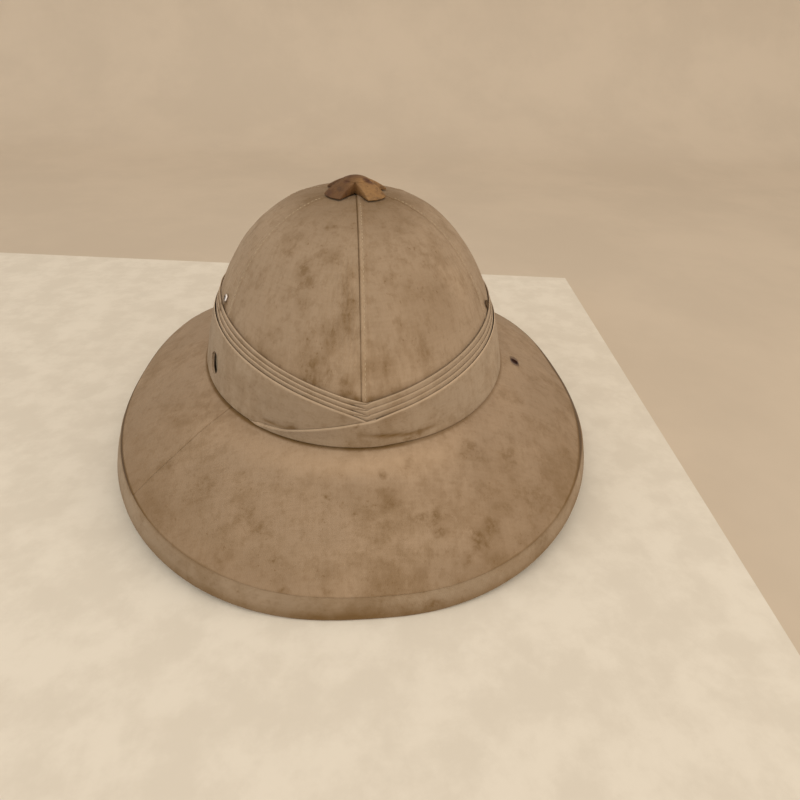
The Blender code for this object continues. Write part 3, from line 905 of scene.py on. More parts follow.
def welt_rise(number):
    """How far the seam allowance lifts this panel's first edge, most at the front seam."""
    return SIDE_WELT_RISE if number else FRONT_WELT_RISE


def seam_depth(z):
    """The share of their dip that the seams keep: they sink less below the middle of the crown."""
    return 0.40 + 0.60 * smooth(z, 0.105, 0.135)


def crinkle(points, last, z):
    """Fine creases that run up the cloth beside a panel's last edge."""
    window = dent(last, CRINKLE_PLACE, CRINKLE_WIDTH)
    window = window * smooth(z, *CRINKLE_START) * (1 - smooth(z, *CRINKLE_END))
    wander = ripple(points, pitch=0.02, seed=14)
    return np.sin(last / CRINKLE_PITCH * 2 * np.pi + 1.5 * wander) * window


def crown_panel(number):
    """One gore, with its edges turned in, and a seam allowance that lifts its first edge."""
    start = number * PANEL_ANGLE
    first_dip, last_dip = seam_dip(number), seam_dip(number + 1)

    def spots(s, t):
        """The azimuth and height, the points, and how far they lie from the panel's two edges."""
        azimuth = start + PANEL_ANGLE * crowded(s, PANEL_CROWDING)
        foot = base_z(azimuth) + WALL_END
        z = CROWN_TOP_Z - (CROWN_TOP_Z - foot) * (1 - PANEL_REACH * t) ** 2
        speed = crown_speed(azimuth, z)
        first, last = (azimuth - start) * speed, (start + PANEL_ANGLE - azimuth) * speed
        return azimuth, z, crown_point(azimuth, z), first, last

    def sunk(first, last, width):
        """How far the cloth sinks in the panel's two seams, when they are this wide."""
        return first_dip * dent(first, 0, width) + last_dip * dent(last, 0, width)

    def place(s, t):
        azimuth, z, points, first, last = spots(s, t)
        depth = crown_waves(points, smooth(first, 0, SEWN_WIDTH) * smooth(last, 0, SEWN_WIDTH))
        depth += welt_rise(number) * (1 - smooth(first, WELT_WIDTH, WELT_WIDTH + WELT_EDGE))
        depth -= first_dip * GROOVE_SHARE * dent(first, WELT_WIDTH, GROOVE_WIDTH)
        depth -= sunk(first, last, ROLL) * seam_depth(z)
        up = (1 - t) * PANEL_LENGTH
        puckers = np.sin(up * 2 * np.pi / PUCKER_PITCH + 2.5 * ripple(points, pitch=0.030, seed=13))
        for edge in (first, last):
            depth += PUCKER * puckers * dent(edge, PUCKER_PLACE, PUCKER_WIDTH)
        depth += CRINKLE * crinkle(points, last, z)
        return crown_layer(azimuth, z, depth)

    def grime_and_shade(s, t):
        azimuth, z, points, first, last = spots(s, t)
        # dark in the seams, a painted highlight along each welt's top and painted shade along its far edge
        seams = sunk(first, last, SEAM_SHADE) * SEAM_GRIME * seam_depth(z)
        seams -= first_dip * WELT_HIGHLIGHT * dent(first, WELT_TOP, WELT_TOP / 2)
        seams += 0.10 * dent(first, WELT_WIDTH, WELT_SHADE)
        # dirt round the cap, dirt and painted shade just above the band, and painted shade in the gaps
        # where the band crosses
        top = 0.55 * (1 - smooth(crown_radius(z), 0.022, 0.060))
        above = z - folds_top(azimuth)
        foot = 0.16 * (1 - smooth(above, 0.0005, 0.004))
        front = (azimuth + 180) % 360 - 180
        crossing_shade = dent(front, -6.0, 1.4) * 0.7 + dent(front, -1.6, 1.8) + dent(front, 2.8, 2.0)
        foot = foot + 0.75 * crossing_shade * (1 - smooth(above, 0.0010, 0.0036))
        cloud = 0.20 * smooth(ripple(points, pitch=0.06, seed=21), 0.1, 0.9)
        # painted shade in the hollows of the crinkles
        crinkle_shade = 0.16 * np.maximum(0, crinkle(points, last, z))
        return np.clip(seams + top + foot + cloud + crinkle_shade, -1, 1)

    piece = laid(f"crown_cloth_{number + 1}", PANEL_COLUMNS, PANEL_ROWS, place, DRILL, grime_and_shade)
    thicken(piece, CLOTH)
    placed(piece, "khaki_drill", f"crown_panel_{number + 1}")
    return piece


STITCH_PITCH = 0.0026
STITCH_LENGTH = 0.0019
STITCH_WIDTH = 0.00042
STITCH_INSET = 0.0020
STITCHES_START = 0.004
STITCHES_END = 0.0015
SEAM_SAMPLES = 600
STITCHED_TURN = 20.0


def stitches(name, places):
    """A row of stitches. places holds a point, a direction and an outward normal for each."""
    shape = bmesh.new()
    for point, along, normal in places:
        side = Vector(normal).cross(Vector(along)).normalized()
        turn = Matrix((Vector(along).normalized(), side, Vector(normal).normalized())).transposed()
        size = Matrix.Diagonal((STITCH_LENGTH / 2, STITCH_WIDTH / 2, STITCH_WIDTH / 2, 1))
        where = Matrix.Translation(Vector(point)) @ turn.to_4x4() @ size
        bmesh.ops.create_uvsphere(shape, u_segments=6, v_segments=4, radius=1.0, matrix=where)
    made = made_object(name, shape, THREAD)
    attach(made, "root")
    return made


def crown_stitches():
    """The topstitching beside each crown seam, up to where the seams draw together."""
    places = []
    for number in range(PANELS):
        seam = number * PANEL_ANGLE
        heights = np.linspace(base_z(seam) + STITCHES_START, CROWN_TOP_Z - STITCHES_END, SEAM_SAMPLES)
        azimuth = seam + STITCH_INSET / crown_speed(seam, heights)
        waves = crown_waves(crown_point(azimuth, heights), smooth(STITCH_INSET, 0, SEWN_WIDTH))
        line = crown_layer(azimuth, heights, waves + welt_rise(number))
        normals = crown_normal(azimuth, heights)
        run = travelled(line, 0)
        for distance in np.arange(0.001, run[-1] - 0.002, STITCH_PITCH):
            i = int(np.searchsorted(run, distance))
            if azimuth[i] - seam < STITCHED_TURN:
                places.append((line[i], line[i + 1] - line[i], normals[i]))
    return stitches("crown_stitches", places)


# ---------------------------------------------------------------- brim

BRIM_COLUMNS = 420
BRIM_ROWS = 60
BRIM_WAVE = 0.0005
BRIM_FLUTTER = 0.00016
BRIM_EDGE_DIP = 0.0004
BRIM_SEAM_DIP = 0.0002
BRIM_SEAM_WIDTH = 0.0005
BRIM_SEAM_SHADE = 0.0006
BRIM_LAP_RISE = 0.0001
BRIM_LAP_END = (0.006, 0.008)
BRIM_HOLE_REACH = 0.003
CROWDING_ROUND = 0.9
CROWDING_OUT = 0.6
RIGHT_LINE_DELAY = 8


def edge_seam_shade(azimuth):
    """How dark the line along the brim's edge seam is, a dark joint with painted shade: faint at the
    front, and clear at the sides.
    """
    turned = from_front(azimuth)
    late = RIGHT_LINE_DELAY * (sideways(azimuth) > 0)
    return 0.12 + 0.33 * smooth(turned, 17, 34) + 0.55 * smooth(turned - late, 38, 56)


def brim_cloth():
    """One strip of cloth round the brim, joined at a seam on the left front."""

    def spots(s, t):
        """The azimuth and share, the points, and how far they lie from the cloth's two ends."""
        azimuth = BRIM_SEAM_AZIMUTH + 360 * crowded(s, CROWDING_ROUND)
        share = BRIM_START + (1.0 - BRIM_START) * crowded(1 - t, CROWDING_OUT)
        points = brim_point(azimuth, share)
        reach = np.linalg.norm(points, axis=-1) * math.pi / 180
        first = (azimuth - BRIM_SEAM_AZIMUTH) * reach
        return azimuth, share, points, first, 360 * reach - first

    def joint(first, last, width):
        """1 at the cloth's seam, and 0 beside it."""
        return dent(first, 0, width) + dent(last, 0, width)

    def place(s, t):
        azimuth, share, points, first, last = spots(s, t)
        depth = BRIM_WAVE * ripple(points, pitch=0.07, seed=31)
        depth += BRIM_FLUTTER * ripple(points, pitch=0.018, seed=32)
        depth *= smooth(share, 0, 0.15) * (1 - smooth(share, 0.9, 1))
        depth -= BRIM_EDGE_DIP * smooth(share, 0.95, 1.0) ** 2
        depth -= BRIM_SEAM_DIP * joint(first, last, BRIM_SEAM_WIDTH)
        depth += BRIM_LAP_RISE * (1 - smooth(last, *BRIM_LAP_END))
        return brim_layer(azimuth, share, depth)

    def grime_and_shade(s, t):
        azimuth, share, points, first, last = spots(s, t)
        turned, side = from_front(azimuth), sideways(azimuth)
        # the dark line of the edge seam with painted shade along the outer edge, which is widest at the
        # right
        flank = smooth(np.abs(side), 0.55, 0.90)
        wide = np.where(side > 0, 0.034 + 0.045 * dent(azimuth, 92, 22), 0.018) * flank
        start = 0.988 - 0.012 * smooth(turned, 40, 60) - wide
        edge = (0.85 + 0.60 * flank) * smooth(share, start, 0.996 - 0.4 * wide) * edge_seam_shade(azimuth)
        # darker outwards and at the sides, and paler in front of the band, a painted pool of light
        edge += 0.16 * smooth(share, 0.6, 1.0) + 0.12 * flank * smooth(share, 0.1, 0.5)
        edge -= 0.45 * dent(share, 0.14, 0.12) * dent(side, 0, 0.5)
        edge += 0.16 * smooth(share, 0.2, 0.8) * dent(turned, 42, 22)
        # painted shade under the foot of the band, less on the right
        foot = (1 - smooth(share, 0.002, 0.028)) * (1 - 0.50 * smooth(side, 0.10, 0.45))
        faint = 1 - 0.8 * smooth(share, 0.35, 0.6)
        seam = 0.20 * joint(first, last, BRIM_SEAM_SHADE) * faint
        cloud = 0.18 * smooth(ripple(points, pitch=0.06, seed=41), 0.0, 0.9)
        return np.clip(edge + foot + seam + cloud, -1, 1.5)

    piece = laid("brim_cloth", BRIM_COLUMNS, BRIM_ROWS, place, BRIM_DRILL, grime_and_shade, flat_map=True)
    thicken(piece, CLOTH)
    hole = (BRIM_HOLE_AZIMUTH, BRIM_HOLE_SHARE)
    pierced(piece, BRIM_HOLE_RADIUS, brim_point(*hole), brim_normal(*hole), BRIM_HOLE_REACH)
    placed(piece, "khaki_drill", "brim_cover")
    return piece


LIP_SECTION = [
    # share of the lip's height, how far above that, depth inside the outer face
    (1.0, -0.0022, 0.0022),
    (1.0, -0.0008, 0.0015),
    (1.0, -0.0002, 0.0007),
    (1.0, -0.0006, 0.0002),
    (0.88, 0.0000, -0.0001),
    (0.72, 0.0000, -0.0002),
    (0.45, 0.0000, -0.0002),
    (0.18, 0.0000, 0.0000),
    (0.0, 0.0009, 0.0001),
    (0.0, 0.0002, 0.0006),
    (0.0, 0.0000, 0.0016),
    (0.0, 0.0000, 0.0050),
    (0.0, 0.0003, 0.0060),
    (0.0, 0.0012, 0.0065),
    (0.5, 0.0000, 0.0065),
]
BINDING_COLUMNS = 288
EDGE_WAVE = 0.00035
EDGE_FLUTTER = 0.0002


def edge_binding():
    """The turned-down cloth edge, folded under and up the inside."""

    def place(s, t):
        azimuth, row = 360 * s, section_rows(LIP_SECTION, t)
        points = outline_point(azimuth, 0)
        height = LIP_HEIGHT * lip_scale(azimuth) * row[:, 0] + row[:, 1]
        waves = EDGE_WAVE * ripple(points, pitch=0.035, seed=51)
        waves += EDGE_FLUTTER * ripple(points, pitch=0.012, seed=52)
        return lip_point(azimuth, height, row[:, 2] - waves * dent(row[:, 0], 0.5, 0.35))

    def grime_and_shade(s, t):
        azimuth, row = 360 * s, section_rows(LIP_SECTION, t)
        points = outline_point(azimuth, 0)
        # painted shade along the seam at the top; darker at the bottom with dirt and painted contact
        # shade, and darker at the right
        seam = 0.45 * (row[:, 0] == 1.0) * (row[:, 2] < 0.001) * edge_seam_shade(azimuth)
        front = dent(from_front(azimuth), 0, 30)
        bottom = (0.50 + 0.25 * front) * (1 - smooth(row[:, 0], 0.0, 0.45 + 0.30 * front))
        right = 0.34 * dent(azimuth, 66, 18)
        cloud = 0.20 * ripple(points, pitch=0.05, seed=53)
        return np.clip(0.04 + 0.08 * front + right + seam + bottom + cloud, 0, 1)

    piece = laid("edge_cloth", BINDING_COLUMNS, len(LIP_SECTION) - 1, place, EDGE_DRILL, grime_and_shade)
    piece.data.flip_normals()
    thicken(piece, CLOTH)
    subdivide(piece)
    placed(piece, "khaki_drill", "edge_binding")
    return piece


# ---------------------------------------------------------------- band

PLEAT_SECTION = [
    # share of the pleat's height below its top, depth outside the crown's cloth, and darkening: above 0
    # dirt and painted shade in the grooves, below 0 wear and a painted highlight on the folded top edge
    (1.30, 0.00075, 0.40),
    (1.06, 0.00085, 0.40),
    (0.88, 0.00100, 0.26),
    (0.62, 0.00125, 0.06),
    (0.34, 0.00148, -0.08),
    (0.14, 0.00160, -0.65),
    (0.03, 0.00155, -0.90),
    (0.00, 0.00120, -0.60),
    (0.04, 0.00070, 0.10),
    (0.25, 0.00010, 0.30),
    (0.80, -0.00010, 0.40),
    (1.30, -0.00010, 0.40),
]
TAPER_START = -5.0
TAPER_END = 3.0
PLEAT_COLUMNS = 200
PLEAT_CROWDING = 1.5
PLEAT_WANDER = 0.00022
PLEAT_FLUTTER = 0.00012
PLEAT_OVERLAP = 0.0004
LEAST_SHARE = 0.02


def left_share(azimuth):
    """The share of each pleat's height that the left side takes where the sides cross."""
    return np.clip((TAPER_END - azimuth) / (TAPER_END - TAPER_START), 0, 1)


def pleat(side, number):
    """One narrow pleat, from the crossing at the front to the middle of the back."""
    table = np.array(PLEAT_SECTION)
    tip = TAPER_END if side < 0 else TAPER_START
    back = CROSSING_AZIMUTH + (180 - BAND_END_GAP) * side

    def spot(s):
        """The azimuth, in columns that lie closer together near the crossing."""
        near = s if side > 0 else 1 - s
        return tip + (back - tip) * near**PLEAT_CROWDING

    def place(s, entry):
        azimuth = spot(s)
        turned = np.abs(azimuth)
        row = table[entry]
        height = (folds_top(azimuth) - folds_foot(azimuth)) / FOLDS
        top = folds_top(azimuth) - number * height
        share = left_share(azimuth)
        if side > 0:
            top = top - height * share
            share = 1 - share
        points = crown_point(azimuth, top)
        wander = PLEAT_WANDER * ripple(points, pitch=0.05, seed=61 + number) * smooth(turned, 4, 20)
        z = top + wander - row[:, 0] * height * np.maximum(share, LEAST_SHARE)
        # flatter towards the crossing, and a little at the sides
        depth = row[:, 1] * (0.35 + 0.65 * np.sqrt(share)) * (1 - 0.35 * smooth(turned, 50, 80))
        if side < 0:
            depth = depth + PLEAT_OVERLAP * (1 - smooth(turned, 4, 12)) * (share > 0)
        flutter = PLEAT_FLUTTER * ripple(points, pitch=0.02, seed=71 + number)
        return crown_layer(azimuth, z, depth + flutter * (row[:, 1] > 0.001))

    def grime_and_shade(s, entry):
        dirt_and_shade = table[entry][:, 2]
        # the left pleats' painted shade and highlights are stronger than the right's
        if side < 0:
            return dirt_and_shade * np.where(dirt_and_shade < 0, 0.9, 1.4) + 0.04
        return dirt_and_shade * 0.5

    name = f"{SIDES[side]}_{number + 1}"
    piece = strip(f"pleat_{name}", PLEAT_COLUMNS, table, place, BAND, grime_and_shade)
    placed(piece, "khaki_band", f"fold_{name}")
    return piece


WRAP_SECTION = [
    # share of the wrap's height, depth outside the crown's cloth, flare in that, and darkening: dirt and
    # painted shade at the foot and on the inside
    (0.00, 0.00180, 0.0014, 0.35),
    (0.03, 0.00190, 0.0014, 0.15),
    (0.12, 0.00190, 0.0010, 0.05),
    (0.34, 0.00180, 0.0004, 0.00),
    (0.52, 0.00180, 0.0002, 0.00),
    (0.70, 0.00180, 0.0000, 0.00),
    (0.86, 0.00180, 0.0000, 0.00),
    (0.955, 0.00175, 0.0000, 0.00),
    (1.00, 0.00150, 0.0000, 0.00),
    (0.965, 0.00110, 0.0000, 0.20),
    (0.70, 0.00050, 0.0000, 0.30),
    (0.34, 0.00035, 0.0003, 0.30),
    (0.10, 0.00035, 0.0012, 0.30),
    (0.00, 0.00090, 0.0014, 0.50),
]
WRAP_COLUMNS = 220
WRAP_CROWDING = 1.3
WRAP_FINENESS = 3
WRAP_FOOT_GAP = 0.0003
WRAP_FOOT_LIFT = 0.0007
WRAP_TOP_LAP = 0.0003
WRAP_TUCK = 0.0025
WRAP_WAVE = 0.0003
WRAP_EDGE = 0.0010
OUTER_DEPTH = 0.0012
VENT_DEPTH = 0.002
LEFT_CREASE = [
    # azimuth, z: the low point of the crease above the lap
    (-36.0, 0.0588),
    (-30.0, 0.0581),
    (-23.0, 0.0588),
    (-18.0, 0.0608),
]
RIGHT_CREASE = [
    # azimuth, z: the low point of the crease across the front of the right wrap
    (-4.0, 0.0612),
    (0.0, 0.0603),
    (9.0, 0.0587),
    (16.5, 0.0575),
    (20.0, 0.0577),
    (26.0, 0.0597),
]
CREASES = {
    # side: (line, azimuths it deepens between, azimuths it fades out between, half-width)
    -1: (LEFT_CREASE, (-36, -30), (-22, -18), 0.0008),
    1: (RIGHT_CREASE, (-4, 8), (20, 30), 0.0010),
}
CREASE_DEPTH = 0.0007
LAP_LINE = [
    # azimuth, z: the right wrap's upper edge where it lies over the left one
    (-38.0, 0.0553),
    (-30.9, 0.0563),
    (-24.3, 0.0576),
    (-18.9, 0.0600),
    (-11.4, 0.0631),
    (-2.1, 0.0665),
    (4.5, 0.0683),
]
LAP_LIFT = 0.0008


def line_z(line, azimuth):
    """The height of a line, a table of azimuth and z, at each azimuth."""
    stations, heights = np.array(line).T
    return np.interp(azimuth, stations, heights)


def finer(table, pieces):
    """A closed section with each of its steps cut into this many."""
    closed = np.array([*table, table[0]])
    entry = np.arange(len(table) * pieces) / pieces
    return np.stack([np.interp(entry, range(len(closed)), column) for column in closed.T], axis=1)


def wrap(side):
    """One broad wrap, from the brim up to the pleats. The right one laps over the left one."""
    table = finer(WRAP_SECTION, WRAP_FINENESS)
    if side < 0:
        low, high = CROSSING_AZIMUTH - 180 + BAND_END_GAP, LAP_END
    else:
        low, high = LAP_START, CROSSING_AZIMUTH + 180 - BAND_END_GAP

    def spot(s):
        """The azimuth, in columns that lie closer together near the front."""
        near = 1 - (1 - s) ** WRAP_CROWDING if side < 0 else s**WRAP_CROWDING
        return low + (high - low) * near

    def crease(azimuth, z):
        """1 along the crease, and 0 beside it and past its ends."""
        line, start, end, width = CREASES[side]
        ends = smooth(azimuth, *start) * (1 - smooth(azimuth, *end))
        return ends * dent(z, line_z(line, azimuth), width)

    def levels(azimuth):
        """The heights of the wrap's foot and top."""
        top = folds_foot(azimuth) + WRAP_TOP_LAP
        foot = base_z(azimuth) + WRAP_FOOT_GAP
        if side > 0:
            top = np.where(azimuth < LAP_END, line_z(LAP_LINE, azimuth), top)
            foot = foot + WRAP_FOOT_LIFT * (1 - smooth(azimuth, 10, 40))
        else:
            tucked = np.maximum(line_z(LAP_LINE, azimuth) - WRAP_TUCK, foot)
            foot = foot + WRAP_FOOT_LIFT * smooth(azimuth, -110, -70)
            foot = np.where(azimuth > LAP_START, np.maximum(tucked, foot), foot)
        return foot, top

    def spread(s, entry):
        """The azimuth, the section's row and the height."""
        azimuth, row = spot(s), table[entry]
        foot, top = levels(azimuth)
        return azimuth, row, foot + (top - foot) * row[:, 0]

    def place(s, entry):
        azimuth, row, z = spread(s, entry)
        waves = WRAP_WAVE * ripple(crown_point(azimuth, z), pitch=0.030, seed=81)
        waves = waves * dent(row[:, 0], 0.5, 0.35)
        if side > 0:
            flare = row[:, 2]
            lift = LAP_LIFT * (1 - smooth(azimuth, 3, 12)) * smooth(azimuth, LAP_START, -34)
        else:
            flare = row[:, 2] * (1 - smooth(azimuth, LAP_START, LAP_START + 6))
            lift = 0.0
        outer = (waves - CREASE_DEPTH * crease(azimuth, z)) * (row[:, 1] > OUTER_DEPTH)
        return crown_layer(azimuth, z, row[:, 1] + flare + lift + outer)

    def grime_and_shade(s, entry):
        azimuth, row, z = spread(s, entry)
        below = levels(azimuth)[1] - z
        # paler along the top edge: wear, and a painted highlight
        paler_share = 1 - smooth(below, WRAP_EDGE * 0.5, WRAP_EDGE * 1.5)
        # dirt across the front; the left painted a little darker and the right a little paler, as painted
        # side light
        front_dirt_and_side_light = 0.24 * dent(azimuth, 0, 24) + 0.06 * (azimuth < -20) - 0.06 * smooth(azimuth, 15, 50)
        # painted shade in the crease
        outer = (0.75 * crease(azimuth, z) - 0.80 * paler_share + front_dirt_and_side_light) * (row[:, 1] > OUTER_DEPTH)
        return row[:, 3] + outer

    piece = strip(f"wrap_cloth_{SIDES[side]}", WRAP_COLUMNS, table, place, BAND, grime_and_shade)
    if side < 0:
        centre = crown_layer(VENT_AZIMUTH, VENT_Z, VENT_DEPTH)
        pierced(piece, VENT_RADIUS, centre, crown_normal(VENT_AZIMUTH, VENT_Z), 2 * VENT_DEPTH)
    placed(piece, "khaki_band", f"wrap_{SIDES[side]}")
    return piece


# ---------------------------------------------------------------- shell, cap and metal

FORM_COLUMNS = 240
FORM_CROWN_SHARES = np.linspace(0.0, 1, 26)
FORM_BRIM_SHARES = np.linspace(0.04, 0.97, 12)
FORM_LIP_HEIGHTS = (LIP_HEIGHT * 0.6, CLOTH + 0.0009)
FORM_THIN_FROM = 0.9


def form_side(azimuth, inner):
    """The shell's rows of points from its top to its lip: outside for inner 0, inside for 1."""
    depth = -SHELL_DEPTH
    foot = base_z(azimuth) + WALL_END
    rows = []
    for share in FORM_CROWN_SHARES:
        z = CROWN_TOP_Z - (CROWN_TOP_Z - foot) * share**2
        rows.append(crown_layer(azimuth, z, depth - SHELL_CROWN * inner))
    for share in FORM_BRIM_SHARES:
        thick = SHELL_BRIM if share < FORM_THIN_FROM else SHELL_LIP
        rows.append(brim_layer(azimuth, share, depth - thick * inner))
    for height in FORM_LIP_HEIGHTS:
        rows.append(lip_point(azimuth, height, SHELL_LIP * inner - depth))
    rows[0][:] = rows[0].mean(axis=0)
    return rows


def pith_form():
    """The moulded shell behind the cloth, open underneath."""
    azimuth = np.linspace(0, 360, FORM_COLUMNS + 1)
    grid = np.array(form_side(azimuth, 1.0) + form_side(azimuth, 0.0)[::-1])
    count = len(grid) - 1

    def place(s, t):
        return grid[np.round(t * count).astype(int), np.round(s * FORM_COLUMNS).astype(int)]

    piece = laid("pith_form", FORM_COLUMNS, count, place, PITH)
    placed(piece, "pith", "pith_shell")
    return piece


CAP_CENTRE_Y = -0.0135
CAP_TURN = -5.0
CAP_LENGTH_RATIO = 1.11
PETAL_RADIUS = 0.0193
PETAL_HALF_ANGLE = 21.0
PETAL_BULGE = 0.03
NOTCH_RADIUS = 0.0073
PETAL_EDGE = 0.0017
PETAL_CROWN = 0.0081
CAP_ROUND_POWER = 1.8
CAP_HEIGHT = 0.0090
BUTTON_RADIUS = 0.0078
BUTTON_FALL = 0.0019
PETAL_LIFT = 0.0006
PETAL_COLUMNS = 180
BUTTON_COLUMNS = 96


def petal_outline(azimuth):
    """The cap's radius: straight-edged petals with a notch between each two."""
    off = np.abs((azimuth % 90) - 45)
    petal = PETAL_RADIUS * (1 + PETAL_BULGE * np.cos(np.radians(off / PETAL_HALF_ANGLE * 90)))
    corner = np.radians(PETAL_HALF_ANGLE)
    corner_x, corner_y = PETAL_RADIUS * math.cos(corner), PETAL_RADIUS * math.sin(corner)
    notch = NOTCH_RADIUS * math.sqrt(0.5)
    side_x, side_y = notch - corner_x, notch - corner_y
    ray_x, ray_y = np.cos(np.radians(off)), np.sin(np.radians(off))
    notched = (corner_x * side_y - corner_y * side_x) / (ray_x * side_y - ray_y * side_x)
    return np.where(off <= PETAL_HALF_ANGLE, petal, notched)


def cap_height(radius):
    """The top of the petals' leather above the crown's cloth."""
    share = np.minimum(1, radius / PETAL_RADIUS)
    return PETAL_EDGE + (PETAL_CROWN - PETAL_EDGE) * (1 - share**CAP_ROUND_POWER)


def over_crown(azimuth, radius, height):
    """A point above the crown's cloth, on an oval of this half-width round the cap's middle."""
    a = np.radians(azimuth + CAP_TURN)
    x, y = radius * np.sin(a), CAP_CENTRE_Y - CAP_LENGTH_RATIO * radius * np.cos(a)
    across = np.hypot(x, (y - CROWN_CENTRE_Y) / CROWN_LENGTH_RATIO) / CROWN_HALF_WIDTH
    rise = (1 - across**CROWN_ROUND_POWER) ** (1 / CROWN_RISE_POWER)
    z = CROWN_FOOT_Z + (CROWN_TOP_Z - CROWN_FOOT_Z) * rise
    return stacked(x, y, z + height)


PETAL_SECTION = [
    # share of the petal's reach, share of the leather's thickness there
    *((share, 1.0) for share in (0.00, 0.12, 0.25, 0.38, 0.50, 0.62, 0.74, 0.84, 0.92)),
    (0.965, 0.98),
    (0.99, 0.85),
    (1.00, 0.55),
    (0.99, 0.15),
    *((share, 0.0) for share in (0.95, 0.60, 0.30, 0.00)),
]


def petals(azimuth, row):
    """Points of the leather cap, one piece cut into four petals."""
    radius = petal_outline(azimuth) * row[:, 0]
    thickness = cap_height(radius) - PETAL_LIFT
    return over_crown(azimuth, radius, PETAL_LIFT + thickness * row[:, 1])


BUTTON_SECTION = [
    # share of the button's radius, share of its thickness there
    *((share, 1.0) for share in (0.00, 0.20, 0.40, 0.60, 0.78, 0.90)),
    (0.96, 0.92),
    (0.99, 0.65),
    (1.00, 0.30),
    *((share, 0.0) for share in (0.985, 0.80, 0.40, 0.00)),
]


def button(azimuth, row):
    """Points of the shallow leather button in the middle of the cap."""
    radius = BUTTON_RADIUS * row[:, 0]
    low = cap_height(radius)
    top = CAP_HEIGHT - BUTTON_FALL * row[:, 0] ** 2
    return over_crown(azimuth, radius, low + (top - low) * row[:, 1])


def cap_piece(name, node, columns, section, points):
    """A round piece of leather. points(azimuth, row) lays out the rows of its section."""

    def place(s, t):
        return points(360 * s, section_rows(section, t))

    piece = laid(name, columns, len(section) - 1, place, LEATHER)
    piece.data.flip_normals()
    placed(piece, "brown_leather", node)


EYELET_RADIUS = 0.0019
EYELET_WIRE = 0.0006
EYELET_LIFT = 0.0005
EYELET_SEAT = 0.0004


def eyelet(side):
    """A small metal eyelet, turned as a ring."""
    azimuth, z = EYELETS[side]
    normal = crown_normal(azimuth, z)
    shape = bmesh.new()
    bmesh.ops.create_circle(
        shape, segments=12, radius=EYELET_WIRE,
        matrix=Matrix.Translation((EYELET_RADIUS, 0, EYELET_LIFT)) @ Matrix.Rotation(math.pi / 2, 4, "X"),
    )
    bmesh.ops.spin(
        shape, geom=shape.verts[:] + shape.edges[:], cent=(0, 0, 0), axis=(0, 0, 1),
        angle=2 * math.pi, steps=40, use_merge=True,
    )
    seat = facing(crown_point(azimuth, z) + normal * EYELET_SEAT, normal)
    bmesh.ops.transform(shape, matrix=seat, verts=shape.verts)
    bmesh.ops.recalc_face_normals(shape, faces=shape.faces)
    piece = finished(f"eyelet_ring_{SIDES[side]}", shape, STEEL)
    placed(piece, "steel", f"eyelet_{SIDES[side]}")


# ---------------------------------------------------------------- the scene

CAMERA_PLACE = (-0.006947, -0.342069, 0.227129)
CAMERA_RIGHT = (0.99505069, -0.09117433, 0.03951414)
CAMERA_UP = (0.01756886, 0.55280934, 0.83312254)
CAMERA_FORWARD = (0.09780317, 0.82830494, -0.55167515)
CAMERA_SENSOR = 36.0  # millimetres
CAMERA_LENS = 23.92  # millimetres
CAMERA_NEAREST = 0.01
TABLE_THICKNESS = 0.03
TABLE_CORNERS = [(-0.9, -0.9), (0.1126, -0.9), (0.2610, 0.2625), (-0.9, 0.392)]
BACKDROP_HALF_WIDTH = 6
BACKDROP_PROFILE = [
    # y, z: the ground, swept up into a wall well behind the table
    (-6.0, -0.03),
    (0.9, -0.03),
    (1.15, 0.0),
    (1.35, 0.09),
    (1.50, 0.25),
    (1.58, 0.50),
    (1.60, 0.90),
    (1.60, 3.0),
]
ROOM_COLOUR = (1.0, 0.885, 0.720, 1)
ROOM_LIGHT = 0.82
LIGHTS = {
    # name: (place, height that it is aimed at, size, power, colour)
    "warm overhead": ((-0.1, -1.0, 1.6), 0.05, 1.6, 6, (1.0, 0.90, 0.74)),
    "warm side": ((1.5, -1.0, 0.3), 0.08, 0.8, 5.5, (1.0, 0.88, 0.70)),
    "cool window": ((-1.5, -0.4, 0.6), 0.08, 1.0, 1.9, (0.52, 0.80, 1.0)),
}


def camera():
    """The photograph's viewing angle."""
    data = bpy.data.cameras.new("camera")
    data.sensor_width = CAMERA_SENSOR
    data.lens = CAMERA_LENS
    data.clip_start = CAMERA_NEAREST
    made = bpy.data.objects.new("camera", data)
    turn = Matrix((CAMERA_RIGHT, CAMERA_UP, -Vector(CAMERA_FORWARD))).transposed().to_4x4()
    made.matrix_world = Matrix.Translation(CAMERA_PLACE) @ turn
    bpy.context.collection.objects.link(made)
    bpy.context.scene.camera = made


def drawn_out(shape, extruded, shift):
    """Moves what an extrusion has just made."""
    moved = [item for item in extruded["geom"] if isinstance(item, bmesh.types.BMVert)]
    bmesh.ops.translate(shape, verts=moved, vec=shift)


def table(material):
    """A flat slab with its top at z 0."""
    shape = bmesh.new()
    top = shape.faces.new([shape.verts.new((x, y, 0)) for x, y in TABLE_CORNERS])
    lowered = bmesh.ops.extrude_face_region(shape, geom=[top])
    drawn_out(shape, lowered, (0, 0, -TABLE_THICKNESS))
    bmesh.ops.recalc_face_normals(shape, faces=shape.faces)
    made_object("table", shape, material, smooth_faces=False)


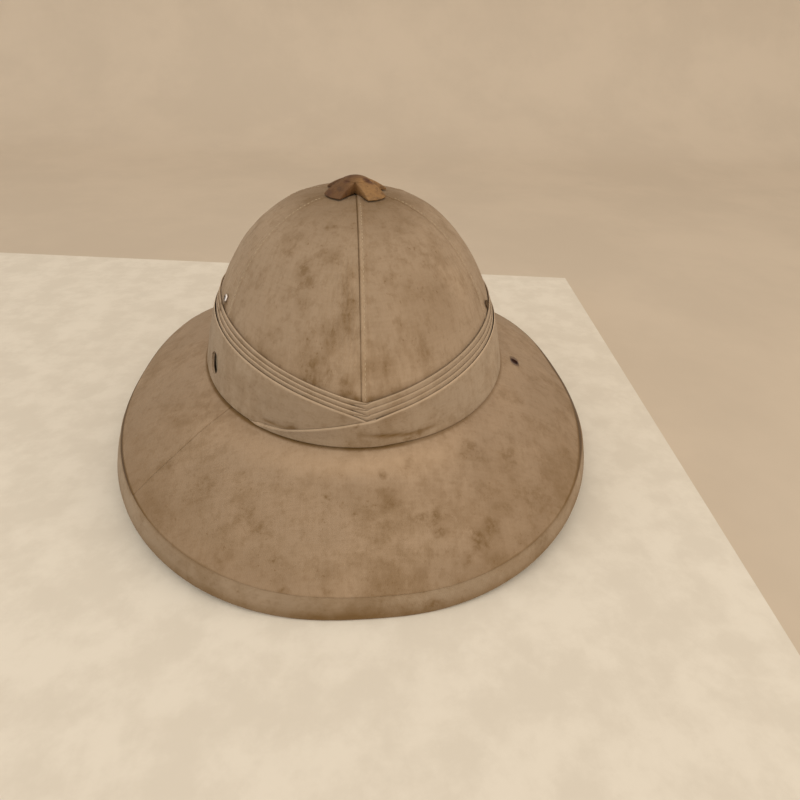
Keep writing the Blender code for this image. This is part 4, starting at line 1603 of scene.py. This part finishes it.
def backdrop(material):
    """The ground and the wall behind, in one sweep."""
    shape = bmesh.new()
    profile = [shape.verts.new((BACKDROP_HALF_WIDTH, y, z)) for y, z in BACKDROP_PROFILE]
    edges = [shape.edges.new(ends) for ends in zip(profile, profile[1:])]
    widened = bmesh.ops.extrude_edge_only(shape, edges=edges)
    drawn_out(shape, widened, (-2 * BACKDROP_HALF_WIDTH, 0, 0))
    made = made_object("backdrop", shape, material)
    subdivide(made, 3)


def area_light(name, place, aim, size, power, colour):
    data = bpy.data.lights.new(name, "AREA")
    data.shape = "DISK"
    data.size = size
    data.energy = power
    data.color = colour
    made = bpy.data.objects.new(name, data)
    made.location = place
    made.rotation_mode = "QUATERNION"
    made.rotation_quaternion = (Vector((0, 0, aim)) - Vector(place)).to_track_quat("-Z", "Y")
    bpy.context.collection.objects.link(made)


def studio():
    """The table, the ground and wall behind it, and soft warm light."""
    table(stage_material("pale table top", TABLE_PALE, TABLE_WHITE, 0.03))
    backdrop(stage_material("warm studio ground", GROUND_BROWN, GROUND_PALE, 0.30))
    world = bpy.data.worlds.new("world")
    world.use_nodes = True
    background = world.node_tree.nodes["Background"]
    background.inputs["Color"].default_value = ROOM_COLOUR
    background.inputs["Strength"].default_value = ROOM_LIGHT
    bpy.context.scene.world = world
    for name, settings in LIGHTS.items():
        area_light(name, *settings)
    bpy.context.scene.view_settings.view_transform = "Standard"


# each sheet of cloth laid flat: its width and length in metres, and its area where it tapers
FRONT_GORE = {"flat": (0.106, 0.163), "area": 0.0108}
SIDE_GORE = {"flat": (0.118, 0.150), "area": 0.0114}
SIDE_PANELS = (1, 4)

camera()
studio()
form = pith_form()
panels = [crown_panel(number) for number in range(PANELS)]
for number, panel in enumerate(panels):
    cut = SIDE_GORE if number in SIDE_PANELS else FRONT_GORE
crown_stitches()
brim = brim_cloth()
edge_binding()
for side in SIDES:
    pleats = [pleat(side, number) for number in range(FOLDS)]
    wrap(side)
    eyelet(side)
cap_piece("cap_leather", "cap_petals", PETAL_COLUMNS, PETAL_SECTION, petals)
cap_piece("cap_knob", "cap_button", BUTTON_COLUMNS, BUTTON_SECTION, button)
